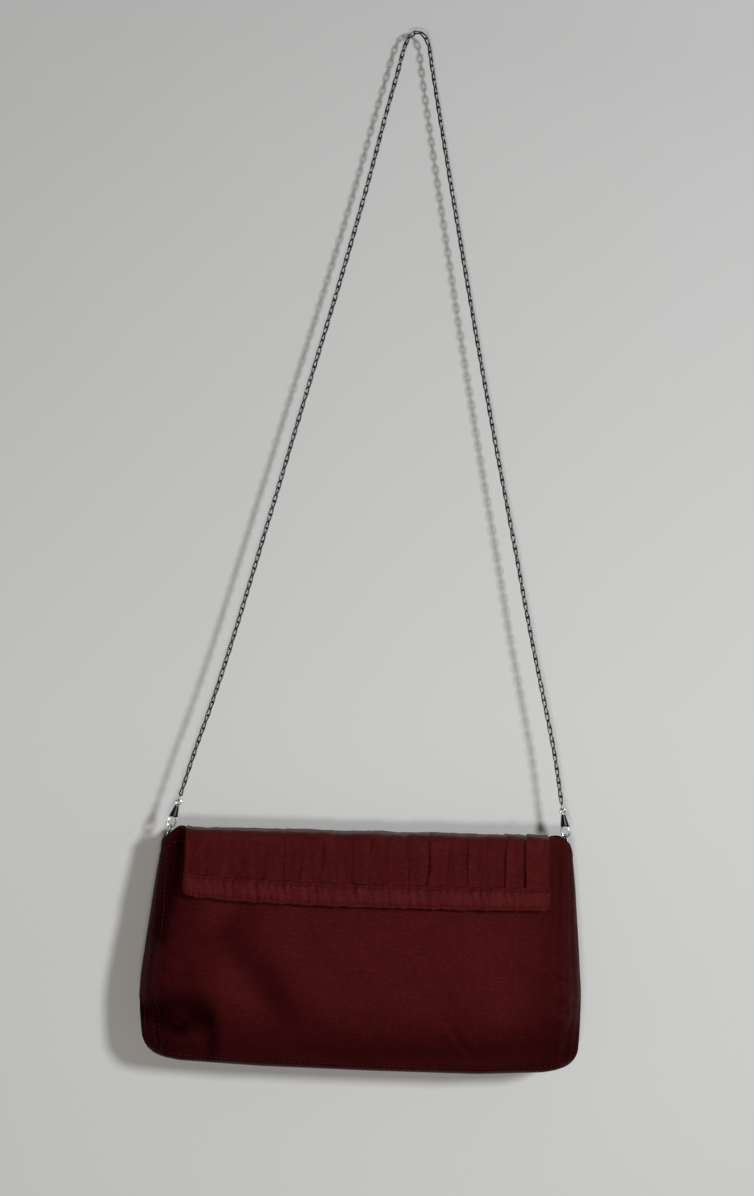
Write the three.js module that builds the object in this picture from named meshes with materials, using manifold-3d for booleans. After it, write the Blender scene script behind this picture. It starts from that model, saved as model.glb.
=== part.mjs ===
// A soft cloth clutch bag with a pleated flap, hung by its chain strap.
// Millimetres, +Z up, +X to the wearer's left, the flap facing -Y.
// The origin is the inside of the strap's topmost bend, where the strap hangs.
import * as THREE from "three";
import { mergeVertices } from "three/addons/utils/BufferGeometryUtils.js";
import Module from "manifold-3d";

const wasm = await Module();
wasm.setup();

// Where the bag hangs below the origin
const BAG_X = -18;
const RIM_DROP = 498;

// Body: half sizes at the rim and at its fullest, which lies FULL_DROP below the rim and is WIDTH_FLARE wider a side
const BODY_HEIGHT = 143;
const RIM_HALF_WIDTH = 126;
const WIDTH_FLARE = 10.5;
const RIM_HALF_DEPTH = 8;
const FULL_HALF_DEPTH = 22;
const FULL_DROP = 95;
const RIM_GUSSET_FLAT = 1.5;
const FULL_CORNER = 15;
const BOTTOM_ROUND = 11;
const PANEL_WALL = 1.6;
const GUSSET_DIP = 4;

// Clearances
const SEAM_GAP = 0.3;
const CLEARANCE = 0.3;
const LINING_GAP = 1;
const PIN_CLEARANCE = 0.1;
const HEAD_CLEARANCE = 0.2;
const RING_PLAY = 0.45;

// Inside the body
const LINING_WALL = 0.8;
const LINING_DIP = 1;
const BOARD_WALL = 1.6;

// Flap
const FLAP_MARGIN = 14;
const FLAP_DROP = 40;
const FLAP_CORNER = 4;
const FLAP_FOLD = 3;
const FLAP_LIFT = 0.4;
const FLAP_LINING_WALL = 0.8;
const FLAP_BOARD_WALL = 1;
const FLAP_FACE_WALL = 1.2;
const BAND_WALL = 1;
const BAND_HEIGHT = 13;
const BOARD_INSET = 3;

// Magnetic snap
const SNAP_DROP = 24;
const SNAP_RADIUS = 7;
const SOCKET_HEIGHT = 1.6;
const RECESS_RADIUS = 4.2;
const RECESS_DEPTH = 1.2;
const STUD_DISC = 0.9;
const PLUG_RADIUS = 2.8;
const PLUG_HEIGHT = 1.1;
const STEM_RADIUS = 1.4;
const WASHER_RADIUS = 5.5;
const WASHER_WALL = 0.4;

// Tabs and the rings in them
const RING_WIRE = 0.65;
const RING_MARGIN = 4.4;
const RING_HEIGHT = 7.4;
const RING_BUTT = 0.1;
const TAB_PLY = 0.7;
const TAB_LEG = 8;
const TAB_LEG_WALL = 1.2;

// Snap hooks, measured up from the wire that the ring hangs on
const HOOK_WIRE = 0.65;
const HOOK_BEND = 2.4;
const HOOK_TIP = 3;
const BARREL_BASE = 6.6;
const BARREL_HEIGHT = 7.2;
const BARREL_FLARE = 0.8;
const BARREL_BASE_RADIUS = 2.6;
const BARREL_TOP_RADIUS = 1.3;
const SWIVEL_BORE = 0.85;
const SWIVEL_COLLAR = 1.4;
const SWIVEL_HEAD_RADIUS = 0.95;
const SWIVEL_HEAD_HEIGHT = 1.2;
const GATE_PIVOT_X = -1.9;
const GATE_PIVOT_Z = 5.6;
const GATE_WALL = 1.1;
const GATE_HEAD = 0.7;
const GATE_TAIL = 0.55;
const GATE_PIN = 0.3;
const EAR_WALL = 0.5;
const EYE_RADIUS = 1.6;
const EYE_WIRE = 0.5;
const LINK_RADIUS = 1.75;
const LINK_WIRE = 0.45;

// Strap: its thickness, and its route from the left hook over the hanging point to the right hook, as [x, z]
const CHAIN_RADIUS = 1.45;
const CHAIN_SIDES = 8;
const CHAIN_STEPS = 79;
const CHAIN_ROUTE = [
  [-125.8, -445.5], [-117.6, -420.5], [-106.6, -384], [-85.2, -306], [-64.2, -228], [-43.8, -153], [-28.8, -94.5],
  [-17.6, -47], [-11.8, -24], [-9.6, -14.6], [-7.4, -6.6], [-4.4, -0.8], [0, 1.5],
  [4.4, -0.8], [7.2, -6.8], [8.8, -15.4], [10.6, -25.8], [16.2, -56], [31.4, -135], [40.6, -182], [56.2, -258],
  [68.4, -315], [80.6, -373], [88.4, -407], [96.6, -444],
];

// Steps along curved pieces
const ARC_STEPS = 3;
const FLAT_STEPS = 2;
const WALL_STEPS = 7;
const ROUND_STEPS = 3;
const PATH_STEPS = 8;

// Sizes that follow from the ones above
const RIM_CORNER = RIM_HALF_DEPTH - RIM_GUSSET_FLAT;
const RING_HALF_WIDTH = RIM_HALF_DEPTH - RING_MARGIN;
const FLAP_HALF_WIDTH = RIM_HALF_WIDTH - FLAP_MARGIN;
const FLAP_STANDOFF = CLEARANCE + SOCKET_HEIGHT + CLEARANCE + STUD_DISC + CLEARANCE;
const BOARD_OFFSET = FLAP_LINING_WALL + CLEARANCE;
const FACE_OFFSET = BOARD_OFFSET + FLAP_BOARD_WALL + CLEARANCE;
const BAND_OFFSET = FACE_OFFSET + FLAP_FACE_WALL + CLEARANCE;
const LINING_OFFSET = PANEL_WALL + LINING_GAP;
const LINING_RISE = PANEL_WALL + CLEARANCE + BOARD_WALL + CLEARANCE;
const TAB_X = halfWidth(GUSSET_DIP) - PANEL_WALL - CLEARANCE - TAB_LEG_WALL / 2;
const RING_LIFT = RING_WIRE + RING_PLAY + HOOK_WIRE;
const BARREL_TOP = BARREL_BASE + BARREL_HEIGHT;
const EYE_Z = BARREL_TOP + CLEARANCE + EYE_WIRE + EYE_RADIUS;
const LINK_Z = EYE_Z + EYE_RADIUS - EYE_WIRE - CLEARANCE - LINK_WIRE + LINK_RADIUS;
const FITTING_LENGTH = LINK_Z + LINK_RADIUS + LINK_WIRE + CLEARANCE;
const TAB_LOOP = RING_WIRE + CLEARANCE + TAB_PLY;
const TAB_FOOT = GUSSET_DIP - CLEARANCE - TAB_LOOP + TAB_LEG;
const TAB_ROOM = TAB_LOOP + TAB_LEG_WALL / 2 + 2 * CLEARANCE + halfWidth(TAB_FOOT) - halfWidth(GUSSET_DIP);
const LINING_END_ROOM = TAB_ROOM - LINING_GAP;
const RING_BAR_Z = TAB_LOOP + CLEARANCE - GUSSET_DIP;

const CLOTH = new THREE.MeshStandardMaterial({ color: 0x4a1718, roughness: 0.75, metalness: 0 });
const BAND_CLOTH = new THREE.MeshStandardMaterial({ color: 0x52191b, roughness: 0.8, metalness: 0 });
const LINING_CLOTH = new THREE.MeshStandardMaterial({ color: 0x2a1114, roughness: 0.55, metalness: 0 });
const BOARD = new THREE.MeshStandardMaterial({ color: 0x8d8478, roughness: 0.9, metalness: 0 });
const NICKEL = new THREE.MeshStandardMaterial({ color: 0xc9c9c6, roughness: 0.25, metalness: 1 });
const GUNMETAL = new THREE.MeshStandardMaterial({ color: 0x77787a, roughness: 0.3, metalness: 1 });

const root = new THREE.Group();
const bag = new THREE.Group();
bag.position.set(BAG_X, 0, -RIM_DROP);
root.add(bag);

// Turns a closed geometry into a solid, with its faces outwards.
function solid(geometry) {
  const bare = new THREE.BufferGeometry();
  const flat = geometry.index ? geometry.toNonIndexed() : geometry;
  bare.setAttribute("position", flat.getAttribute("position").clone());
  const merged = mergeVertices(bare, 1e-4);
  const position = merged.attributes.position.array;
  const faces = new Uint32Array(merged.index.array);
  if (signedVolume(position, faces) < 0) {
    for (let i = 0; i < faces.length; i += 3) {
      [faces[i + 1], faces[i + 2]] = [faces[i + 2], faces[i + 1]];
    }
  }
  return new wasm.Manifold(new wasm.Mesh({ numProp: 3, vertProperties: position, triVerts: faces }));
}

function signedVolume(position, faces) {
  const a = new THREE.Vector3();
  const b = new THREE.Vector3();
  const c = new THREE.Vector3();
  let sum = 0;
  for (let i = 0; i < faces.length; i += 3) {
    a.fromArray(position, 3 * faces[i]);
    b.fromArray(position, 3 * faces[i + 1]);
    c.fromArray(position, 3 * faces[i + 2]);
    sum += a.dot(b.cross(c));
  }
  return sum / 6;
}

// Adds a solid to a group as a named mesh.
function addPiece(group, name, made, material) {
  const mesh = made.getMesh();
  const geometry = new THREE.BufferGeometry();
  geometry.setAttribute("position", new THREE.BufferAttribute(new Float32Array(mesh.vertProperties), 3));
  geometry.setIndex(new THREE.BufferAttribute(new Uint32Array(mesh.triVerts), 1));
  geometry.computeVertexNormals();
  const piece = new THREE.Mesh(geometry, material);
  piece.name = name;
  group.add(piece);
}

// Body sections: half sizes and corner radius at a depth below the rim
function swell(depth) {
  return Math.sin((Math.PI / 2) * Math.min(Math.max(depth, 0) / FULL_DROP, 1));
}

function halfWidth(depth) {
  return RIM_HALF_WIDTH + WIDTH_FLARE * swell(depth);
}

function halfDepth(depth) {
  return RIM_HALF_DEPTH + (FULL_HALF_DEPTH - RIM_HALF_DEPTH) * swell(depth);
}

function cornerRadius(depth) {
  return RIM_CORNER + (FULL_CORNER - RIM_CORNER) * swell(depth);
}

// Stations along one side of a rounded rectangle, from the middle of one corner to the middle of the next.
function sideStations() {
  const stations = [];
  for (let i = 0; i < ARC_STEPS; i++) {
    stations.push({ end: -1, turn: (Math.PI / 4) * (1 - i / ARC_STEPS), along: -1 });
  }
  for (let i = 0; i <= FLAT_STEPS; i++) {
    stations.push({ end: 0, turn: 0, along: -1 + (2 * i) / FLAT_STEPS });
  }
  for (let i = 1; i <= ARC_STEPS; i++) {
    stations.push({ end: 1, turn: (Math.PI / 4) * (i / ARC_STEPS), along: 1 });
  }
  return stations;
}

// A row of a wall: its depth below the rim and how far it lies inside the body's outer face.
// In the wall it is at a depth, and in the rounded bottom at an angle.
function wallRow(depth, offset) {
  return { depth, inset: offset };
}

function roundRow(angle, offset, rise) {
  const radius = BOTTOM_ROUND - offset;
  return {
    depth: BODY_HEIGHT - rise - radius + radius * Math.sin(angle),
    inset: offset + radius * (1 - Math.cos(angle)),
  };
}

// The point of a row at a station of side 0 front, 1 right, 2 back or 3 left.
function bodyPoint(row, side, station, trim, endRoom) {
  const a = halfWidth(row.depth) - row.inset - endRoom;
  const b = halfDepth(row.depth) - row.inset;
  const r = cornerRadius(row.depth) - row.inset;
  const long = side % 2 === 0 ? a : b;
  const out = side % 2 === 0 ? b : a;
  const turn = Math.max(station.turn - (station.turn > Math.PI / 4 - 1e-6 ? trim : 0), 0);
  const across = station.along * (long - r) + station.end * r * Math.sin(turn);
  const away = out - r + r * Math.cos(turn);
  const x = [across, away, -across, -away][side];
  const y = [-away, across, away, -across][side];
  return new THREE.Vector3(x, y, -row.depth);
}

// Joins two grids of points, outer and inner, into one closed shell piece.
function shellPiece(outer, inner) {
  const rows = outer.length;
  const columns = outer[0].length;
  const triangles = [];
  const quad = (a, b, c, d) => triangles.push(a, b, c, a, c, d);
  for (let i = 0; i + 1 < rows; i++) {
    for (let j = 0; j + 1 < columns; j++) {
      quad(outer[i][j], outer[i + 1][j], outer[i + 1][j + 1], outer[i][j + 1]);
      quad(inner[i][j], inner[i][j + 1], inner[i + 1][j + 1], inner[i + 1][j]);
    }
  }
  for (let i = 0; i + 1 < rows; i++) {
    quad(outer[i][0], inner[i][0], inner[i + 1][0], outer[i + 1][0]);
    quad(outer[i][columns - 1], outer[i + 1][columns - 1], inner[i + 1][columns - 1], inner[i][columns - 1]);
  }
  for (let j = 0; j + 1 < columns; j++) {
    quad(outer[0][j], outer[0][j + 1], inner[0][j + 1], inner[0][j]);
    quad(outer[rows - 1][j], inner[rows - 1][j], inner[rows - 1][j + 1], outer[rows - 1][j + 1]);
  }
  return solid(new THREE.BufferGeometry().setFromPoints(triangles));
}

// Joins rings of points into one closed solid, with a point at the middle of the first and the last ring.
function loft(rings) {
  const triangles = [];
  const middle = (ring) => ring.reduce((sum, p) => sum.add(p), new THREE.Vector3()).divideScalar(ring.length);
  const first = middle(rings[0]);
  const last = middle(rings[rings.length - 1]);
  const count = rings[0].length;
  for (let j = 0; j < count; j++) {
    const k = (j + 1) % count;
    triangles.push(first, rings[0][k], rings[0][j]);
    triangles.push(last, rings[rings.length - 1][j], rings[rings.length - 1][k]);
    for (let i = 0; i + 1 < rings.length; i++) {
      triangles.push(rings[i][j], rings[i][k], rings[i + 1][k]);
      triangles.push(rings[i][j], rings[i + 1][k], rings[i + 1][j]);
    }
  }
  return solid(new THREE.BufferGeometry().setFromPoints(triangles));
}

function rowsOfWall(top, offset, rise, lastAngle) {
  const rows = [];
  const wallEnd = roundRow(0, offset, rise).depth;
  for (let i = 0; i < WALL_STEPS; i++) {
    rows.push(wallRow(top + ((wallEnd - top) * i) / WALL_STEPS, offset));
  }
  for (let i = 0; i <= ROUND_STEPS; i++) {
    rows.push(roundRow((lastAngle * i) / ROUND_STEPS, offset, rise));
  }
  return rows;
}

function ringOf(row, endRoom) {
  const ring = [];
  for (let side = 0; side < 4; side++) {
    for (const station of sideStations().slice(0, -1)) {
      ring.push(bodyPoint(row, side, station, 0, endRoom));
    }
  }
  return ring;
}

// Body panels: front, back and two gussets, which meet at the corners with a seam gap, and end at the base's seam
function wallPanel(side, top) {
  const seamAngle = Math.PI / 4 - SEAM_GAP / 2 / (BOTTOM_ROUND - PANEL_WALL);
  const grid = (offset) =>
    rowsOfWall(top, offset, offset, seamAngle).map((row) => {
      const trim = SEAM_GAP / 2 / (cornerRadius(row.depth) - row.inset);
      return sideStations().map((station) => bodyPoint(row, side, station, trim, 0));
    });
  return shellPiece(grid(0), grid(PANEL_WALL));
}

function basePanel() {
  const seamAngle = Math.PI / 4 + SEAM_GAP / 2 / (BOTTOM_ROUND - PANEL_WALL);
  const rings = (offset) => {
    const made = [];
    for (let i = 0; i <= ROUND_STEPS; i++) {
      const angle = Math.PI / 2 + ((seamAngle - Math.PI / 2) * i) / ROUND_STEPS;
      made.push(ringOf(roundRow(angle, offset, offset), 0));
    }
    return made;
  };
  return loft([...rings(0), ...rings(PANEL_WALL).reverse()]);
}

// Lining: a cup that hangs inside the panels and stands on the base board
function lining() {
  const rings = (offset, rise) =>
    rowsOfWall(LINING_DIP, offset, rise, Math.PI / 2).map((row) => ringOf(row, LINING_END_ROOM));
  const inside = LINING_OFFSET + LINING_WALL;
  return loft([...rings(LINING_OFFSET, LINING_RISE).reverse(), ...rings(inside, LINING_RISE + LINING_WALL)]);
}

function baseBoard() {
  const ring = ringOf(wallRow(BODY_HEIGHT, BOTTOM_ROUND), 0);
  const floor = -BODY_HEIGHT + PANEL_WALL + CLEARANCE;
  const at = (z) => ring.map((p) => new THREE.Vector3(p.x, p.y, z));
  return loft([at(floor), at(floor + BOARD_WALL)]);
}

// Snap pieces are turned about an axis that leaves the front panel squarely at SNAP_DROP.
const SNAP_SLOPE = Math.atan2(halfDepth(SNAP_DROP + 1) - halfDepth(SNAP_DROP - 1), 2);

function snapPlace(made) {
  const matrix = new THREE.Matrix4().makeRotationX(Math.PI / 2 - SNAP_SLOPE);
  matrix.setPosition(0, -halfDepth(SNAP_DROP), -SNAP_DROP);
  return made.transform(matrix.elements);
}

// A turned solid from a profile of [radius, height] points that starts and ends on the axis or closes on itself.
function turned(profile, sides) {
  const points = profile.map(([r, z]) => new THREE.Vector2(r, z));
  const geometry = new THREE.LatheGeometry(points, sides);
  geometry.rotateX(Math.PI / 2);
  return solid(geometry);
}

function disc(radius, low, high, sides = 24) {
  return turned([[0, low], [radius, low], [radius, high], [0, high]], sides);
}

// Heights of the snap's pieces above the front panel's face, outwards
const SOCKET_LOW = CLEARANCE;
const SOCKET_HIGH = SOCKET_LOW + SOCKET_HEIGHT;
const STUD_LOW = SOCKET_HIGH + CLEARANCE;
const STUD_HIGH = STUD_LOW + STUD_DISC;
const WASHER_LOW = -PANEL_WALL - CLEARANCE - WASHER_WALL;

function snapSocket() {
  const body = disc(SNAP_RADIUS, SOCKET_LOW, SOCKET_HIGH);
  const recess = disc(RECESS_RADIUS, SOCKET_HIGH - RECESS_DEPTH, SOCKET_HIGH + 1);
  const stem = disc(STEM_RADIUS, WASHER_LOW, SOCKET_HIGH - RECESS_DEPTH, 12);
  return snapPlace(body.subtract(recess).add(stem));
}

function snapWasher(low) {
  const plate = disc(WASHER_RADIUS, low, low + WASHER_WALL);
  return snapPlace(plate.subtract(disc(STEM_RADIUS + CLEARANCE, low - 1, low + WASHER_WALL + 1, 12)));
}

function snapStud() {
  const plug = disc(PLUG_RADIUS, STUD_LOW - PLUG_HEIGHT, STUD_HIGH);
  const plate = disc(SNAP_RADIUS, STUD_LOW, STUD_HIGH);
  const stem = disc(STEM_RADIUS, STUD_LOW, STUD_HIGH + FACE_OFFSET, 12);
  return snapPlace(plate.add(plug).add(stem));
}

function snapHole(radius, low, high, sides) {
  return snapPlace(disc(radius, low, high, sides));
}

// Flap: strips that run from the hinge at the back, over the mouth and down the front
function flapPath() {
  const frontY = (depth) => -(halfDepth(depth) + FLAP_STANDOFF);
  const fold = new THREE.QuadraticBezierCurve(
    new THREE.Vector2(frontY(0) + FLAP_FOLD, FLAP_LIFT),
    new THREE.Vector2(frontY(0), FLAP_LIFT),
    new THREE.Vector2(frontY(FLAP_FOLD), -FLAP_FOLD),
  );
  const path = [new THREE.Vector2(RIM_HALF_DEPTH, FLAP_LIFT), ...fold.getPoints(4)];
  for (let i = 1; i <= PATH_STEPS; i++) {
    const depth = FLAP_FOLD + ((FLAP_DROP - FLAP_FOLD) * i) / PATH_STEPS;
    path.push(new THREE.Vector2(frontY(depth), -depth));
  }
  return path;
}

function offsetPath(path, distance) {
  return path.map((p, i) => {
    const before = path[Math.max(i - 1, 0)];
    const after = path[Math.min(i + 1, path.length - 1)];
    const along = after.clone().sub(before).normalize();
    return new THREE.Vector2(p.x + along.y * distance, p.y - along.x * distance);
  });
}

// The part of the path that lies between two depths below the rim
function pathBetween(top, bottom) {
  const path = flapPath();
  const kept = path.filter((p) => -p.y > top && -p.y < bottom);
  const at = (depth) => new THREE.Vector2(-(halfDepth(depth) + FLAP_STANDOFF), -depth);
  return [at(top), ...kept, at(bottom)];
}

function strip(path, low, high, halfLength) {
  const outline = [...offsetPath(path, low), ...offsetPath(path, high).reverse()];
  const geometry = new THREE.ExtrudeGeometry(new THREE.Shape(outline), {
    depth: 2 * halfLength,
    bevelEnabled: false,
    steps: 1,
  });
  geometry.translate(0, 0, -halfLength);
  geometry.applyMatrix4(new THREE.Matrix4().set(0, 0, 1, 0, 1, 0, 0, 0, 0, 1, 0, 0, 0, 0, 0, 1));
  return solid(geometry);
}

// The flap's outline seen from the front, with rounded lower corners
function flapOutline(inset) {
  const x = FLAP_HALF_WIDTH - inset;
  const low = -FLAP_DROP - FLAP_LIFT + inset;
  const high = FLAP_DROP;
  const r = Math.max(FLAP_CORNER - inset / 2, 1);
  const shape = new THREE.Shape();
  shape.moveTo(-x, high);
  shape.lineTo(-x, low + r);
  shape.absarc(-x + r, low + r, r, Math.PI, 1.5 * Math.PI, false);
  shape.absarc(x - r, low + r, r, 1.5 * Math.PI, 2 * Math.PI, false);
  shape.lineTo(x, high);
  const reach = 2 * FULL_HALF_DEPTH + FLAP_DROP;
  const geometry = new THREE.ExtrudeGeometry(shape, { depth: 2 * reach, bevelEnabled: false, curveSegments: 5 });
  geometry.translate(0, 0, -reach);
  geometry.rotateX(Math.PI / 2);
  return solid(geometry);
}

function flapLayer(path, low, high, inset) {
  return strip(path, low, high, FLAP_HALF_WIDTH + 1).intersect(flapOutline(inset));
}

// A tube along a smooth line through points
function tube(points, radius, sides, steps) {
  const section = new THREE.Shape();
  section.absarc(0, 0, radius, 0, 2 * Math.PI, false);
  const geometry = new THREE.ExtrudeGeometry(section, {
    extrudePath: new THREE.CatmullRomCurve3(points, false, "centripetal"),
    steps,
    curveSegments: sides / 2,
    bevelEnabled: false,
  });
  return solid(geometry);
}

// Tab and ring at a top corner, built about the middle of the ring's bar
function cornerRing() {
  const points = [];
  const straight = RING_HEIGHT - RING_HALF_WIDTH;
  const round = 1.1;
  points.push([RING_BUTT / 2, 0], [RING_HALF_WIDTH / 2, 0], [RING_HALF_WIDTH - round, 0]);
  points.push([RING_HALF_WIDTH - 0.3 * round, 0.3 * round], [RING_HALF_WIDTH, round]);
  for (let i = 0; i <= 8; i++) {
    const angle = (Math.PI * i) / 8;
    points.push([RING_HALF_WIDTH * Math.cos(angle), straight + RING_HALF_WIDTH * Math.sin(angle)]);
  }
  points.push([-RING_HALF_WIDTH, round], [-RING_HALF_WIDTH + 0.3 * round, 0.3 * round]);
  points.push([-RING_HALF_WIDTH + round, 0], [-RING_HALF_WIDTH / 2, 0], [-RING_BUTT / 2, 0]);
  return tube(points.map(([y, z]) => new THREE.Vector3(0, y, z)), RING_WIRE, 8, 32);
}

function tab() {
  const inner = RING_WIRE + CLEARANCE;
  const half = TAB_LEG_WALL / 2;
  const meet = Math.asin(half / TAB_LOOP);
  const shape = new THREE.Shape();
  shape.moveTo(half, -TAB_LEG);
  shape.lineTo(half, -TAB_LOOP * Math.cos(meet));
  shape.absarc(0, 0, TAB_LOOP, -Math.PI / 2 + meet, 1.5 * Math.PI - meet, false);
  shape.lineTo(-half, -TAB_LEG);
  const hole = new THREE.Path();
  hole.absarc(0, 0, inner, 0, 2 * Math.PI, true);
  shape.holes.push(hole);
  const reach = RING_HALF_WIDTH - RING_WIRE - CLEARANCE;
  const geometry = new THREE.ExtrudeGeometry(shape, { depth: 2 * reach, bevelEnabled: false, curveSegments: 8 });
  geometry.translate(0, 0, -reach);
  geometry.rotateX(Math.PI / 2);
  return solid(geometry);
}

// Snap hook in its own frame: the ring hangs on the wire at the origin, and the strap leaves along +Z.
// The hook lies in the XZ plane, and mirror is 1 or -1 for the side that its gate is on.
function plateAcross(shape, low, high) {
  const geometry = new THREE.ExtrudeGeometry(shape, { depth: high - low, bevelEnabled: false, curveSegments: 6 });
  geometry.rotateX(Math.PI / 2);
  geometry.translate(0, high, 0);
  return solid(geometry);
}

function pinAcross(radius, x, z, reach) {
  const geometry = new THREE.CylinderGeometry(radius, radius, 2 * reach, 12);
  geometry.translate(x, 0, z);
  return solid(geometry);
}

function hookBody(mirror) {
  const wire = [[1.5, BARREL_BASE + 0.6], [2.1, BARREL_BASE - 0.9], [HOOK_BEND, HOOK_BEND + 1.6]];
  for (let i = 0; i <= 8; i++) {
    const angle = (-Math.PI * i) / 8;
    wire.push([HOOK_BEND * Math.cos(angle), HOOK_BEND + HOOK_BEND * Math.sin(angle)]);
  }
  wire.push([-HOOK_BEND, HOOK_TIP]);
  const bend = tube(wire.map(([x, z]) => new THREE.Vector3(mirror * x, 0, z)), HOOK_WIRE, 8, 26);
  const chamberTop = BARREL_TOP - SWIVEL_COLLAR;
  const chamber = SWIVEL_HEAD_RADIUS + HEAD_CLEARANCE;
  const chamberLow = chamberTop - SWIVEL_HEAD_HEIGHT - 2 * CLEARANCE;
  const barrel = turned(
    [
      [0, BARREL_BASE],
      [BARREL_BASE_RADIUS - 0.2, BARREL_BASE],
      [BARREL_BASE_RADIUS, BARREL_BASE + BARREL_FLARE],
      [BARREL_TOP_RADIUS, BARREL_TOP],
      [SWIVEL_BORE, BARREL_TOP],
      [SWIVEL_BORE, chamberTop],
      [chamber, chamberTop],
      [chamber, chamberLow],
      [0, chamberLow],
    ],
    16,
  );
  const earLow = GATE_WALL / 2 + PIN_CLEARANCE;
  let made = barrel.add(bend);
  for (const side of [-1, 1]) {
    const ear = new THREE.Shape();
    ear.moveTo(mirror * GATE_PIVOT_X + GATE_HEAD, GATE_PIVOT_Z);
    ear.lineTo(mirror * GATE_PIVOT_X + GATE_HEAD, BARREL_BASE + 0.3);
    ear.lineTo(mirror * GATE_PIVOT_X - GATE_HEAD, BARREL_BASE + 0.3);
    ear.lineTo(mirror * GATE_PIVOT_X - GATE_HEAD, GATE_PIVOT_Z);
    ear.absarc(mirror * GATE_PIVOT_X, GATE_PIVOT_Z, GATE_HEAD, Math.PI, 2 * Math.PI, false);
    const near = side < 0 ? -earLow - EAR_WALL : earLow;
    made = made.add(plateAcross(ear, near, near + EAR_WALL));
  }
  const hole = GATE_PIN + PIN_CLEARANCE;
  return made.subtract(pinAcross(hole, mirror * GATE_PIVOT_X, GATE_PIVOT_Z, earLow + EAR_WALL + 1));
}

function gate(mirror) {
  const tailZ = HOOK_TIP + CLEARANCE + GATE_TAIL;
  const shape = new THREE.Shape();
  const x = mirror * GATE_PIVOT_X;
  const tailX = -mirror * HOOK_BEND;
  shape.moveTo(x + GATE_HEAD, GATE_PIVOT_Z);
  shape.absarc(x, GATE_PIVOT_Z, GATE_HEAD, 0, Math.PI, false);
  shape.lineTo(tailX - GATE_TAIL, tailZ);
  shape.absarc(tailX, tailZ, GATE_TAIL, Math.PI, 2 * Math.PI, false);
  const plate = plateAcross(shape, -GATE_WALL / 2, GATE_WALL / 2);
  return plate.subtract(pinAcross(GATE_PIN + PIN_CLEARANCE, x, GATE_PIVOT_Z, GATE_WALL));
}

function gatePin(mirror) {
  return pinAcross(GATE_PIN, mirror * GATE_PIVOT_X, GATE_PIVOT_Z, GATE_WALL / 2 + PIN_CLEARANCE + EAR_WALL);
}

function swivelEye() {
  const loop = new THREE.TorusGeometry(EYE_RADIUS, EYE_WIRE, 8, 20);
  loop.rotateX(Math.PI / 2);
  loop.translate(0, 0, EYE_Z);
  const headTop = BARREL_TOP - SWIVEL_COLLAR - CLEARANCE;
  const headLow = headTop - SWIVEL_HEAD_HEIGHT;
  const stem = disc(SWIVEL_BORE - CLEARANCE, headLow, EYE_Z - EYE_RADIUS, 12);
  return solid(loop).add(stem).add(disc(SWIVEL_HEAD_RADIUS, headLow, headTop, 12));
}

function endLink() {
  const loop = new THREE.TorusGeometry(LINK_RADIUS, LINK_WIRE, 8, 20);
  loop.rotateY(Math.PI / 2);
  loop.translate(0, 0, LINK_Z);
  return solid(loop);
}

// The body
const frontPanel = wallPanel(0, 0).subtract(snapHole(STEM_RADIUS + CLEARANCE, -2 * PANEL_WALL, PANEL_WALL, 12));
addPiece(bag, "front_panel", frontPanel, CLOTH);
addPiece(bag, "back_panel", wallPanel(2, 0), CLOTH);
addPiece(bag, "right_gusset", wallPanel(1, GUSSET_DIP), CLOTH);
addPiece(bag, "left_gusset", wallPanel(3, GUSSET_DIP), CLOTH);
addPiece(bag, "base_panel", basePanel(), CLOTH);
addPiece(bag, "base_board", baseBoard(), BOARD);
addPiece(bag, "lining", lining(), LINING_CLOTH);
addPiece(bag, "snap_socket", snapSocket(), NICKEL);
addPiece(bag, "socket_washer", snapWasher(WASHER_LOW), NICKEL);

// The flap
const STUD_WASHER_LOW = STUD_HIGH + CLEARANCE + BOARD_OFFSET + CLEARANCE;
const stemHole = snapHole(STEM_RADIUS + CLEARANCE, 0, STUD_HIGH + FACE_OFFSET, 12);
const washerHole = snapHole(WASHER_RADIUS + CLEARANCE, 0, STUD_HIGH + FACE_OFFSET + CLEARANCE, 24);
const boardPath = pathBetween(FLAP_FOLD + BOARD_WALL, FLAP_DROP - FLAP_BOARD_WALL);
const bandPath = pathBetween(FLAP_DROP - BAND_HEIGHT, FLAP_DROP);
const flapBoard = flapLayer(boardPath, BOARD_OFFSET, BOARD_OFFSET + FLAP_BOARD_WALL, BOARD_INSET);
const flapLining = flapLayer(flapPath(), 0, FLAP_LINING_WALL, 1).subtract(stemHole);
addPiece(bag, "flap_lining", flapLining, LINING_CLOTH);
addPiece(bag, "flap_board", flapBoard.subtract(washerHole), BOARD);
addPiece(bag, "flap_face", flapLayer(flapPath(), FACE_OFFSET, FACE_OFFSET + FLAP_FACE_WALL, 0), CLOTH);
addPiece(bag, "flap_band", flapLayer(bandPath, BAND_OFFSET, BAND_OFFSET + BAND_WALL, 0), BAND_CLOTH);
addPiece(bag, "snap_stud", snapStud(), NICKEL);
addPiece(bag, "stud_washer", snapWasher(STUD_WASHER_LOW), NICKEL);

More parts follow.
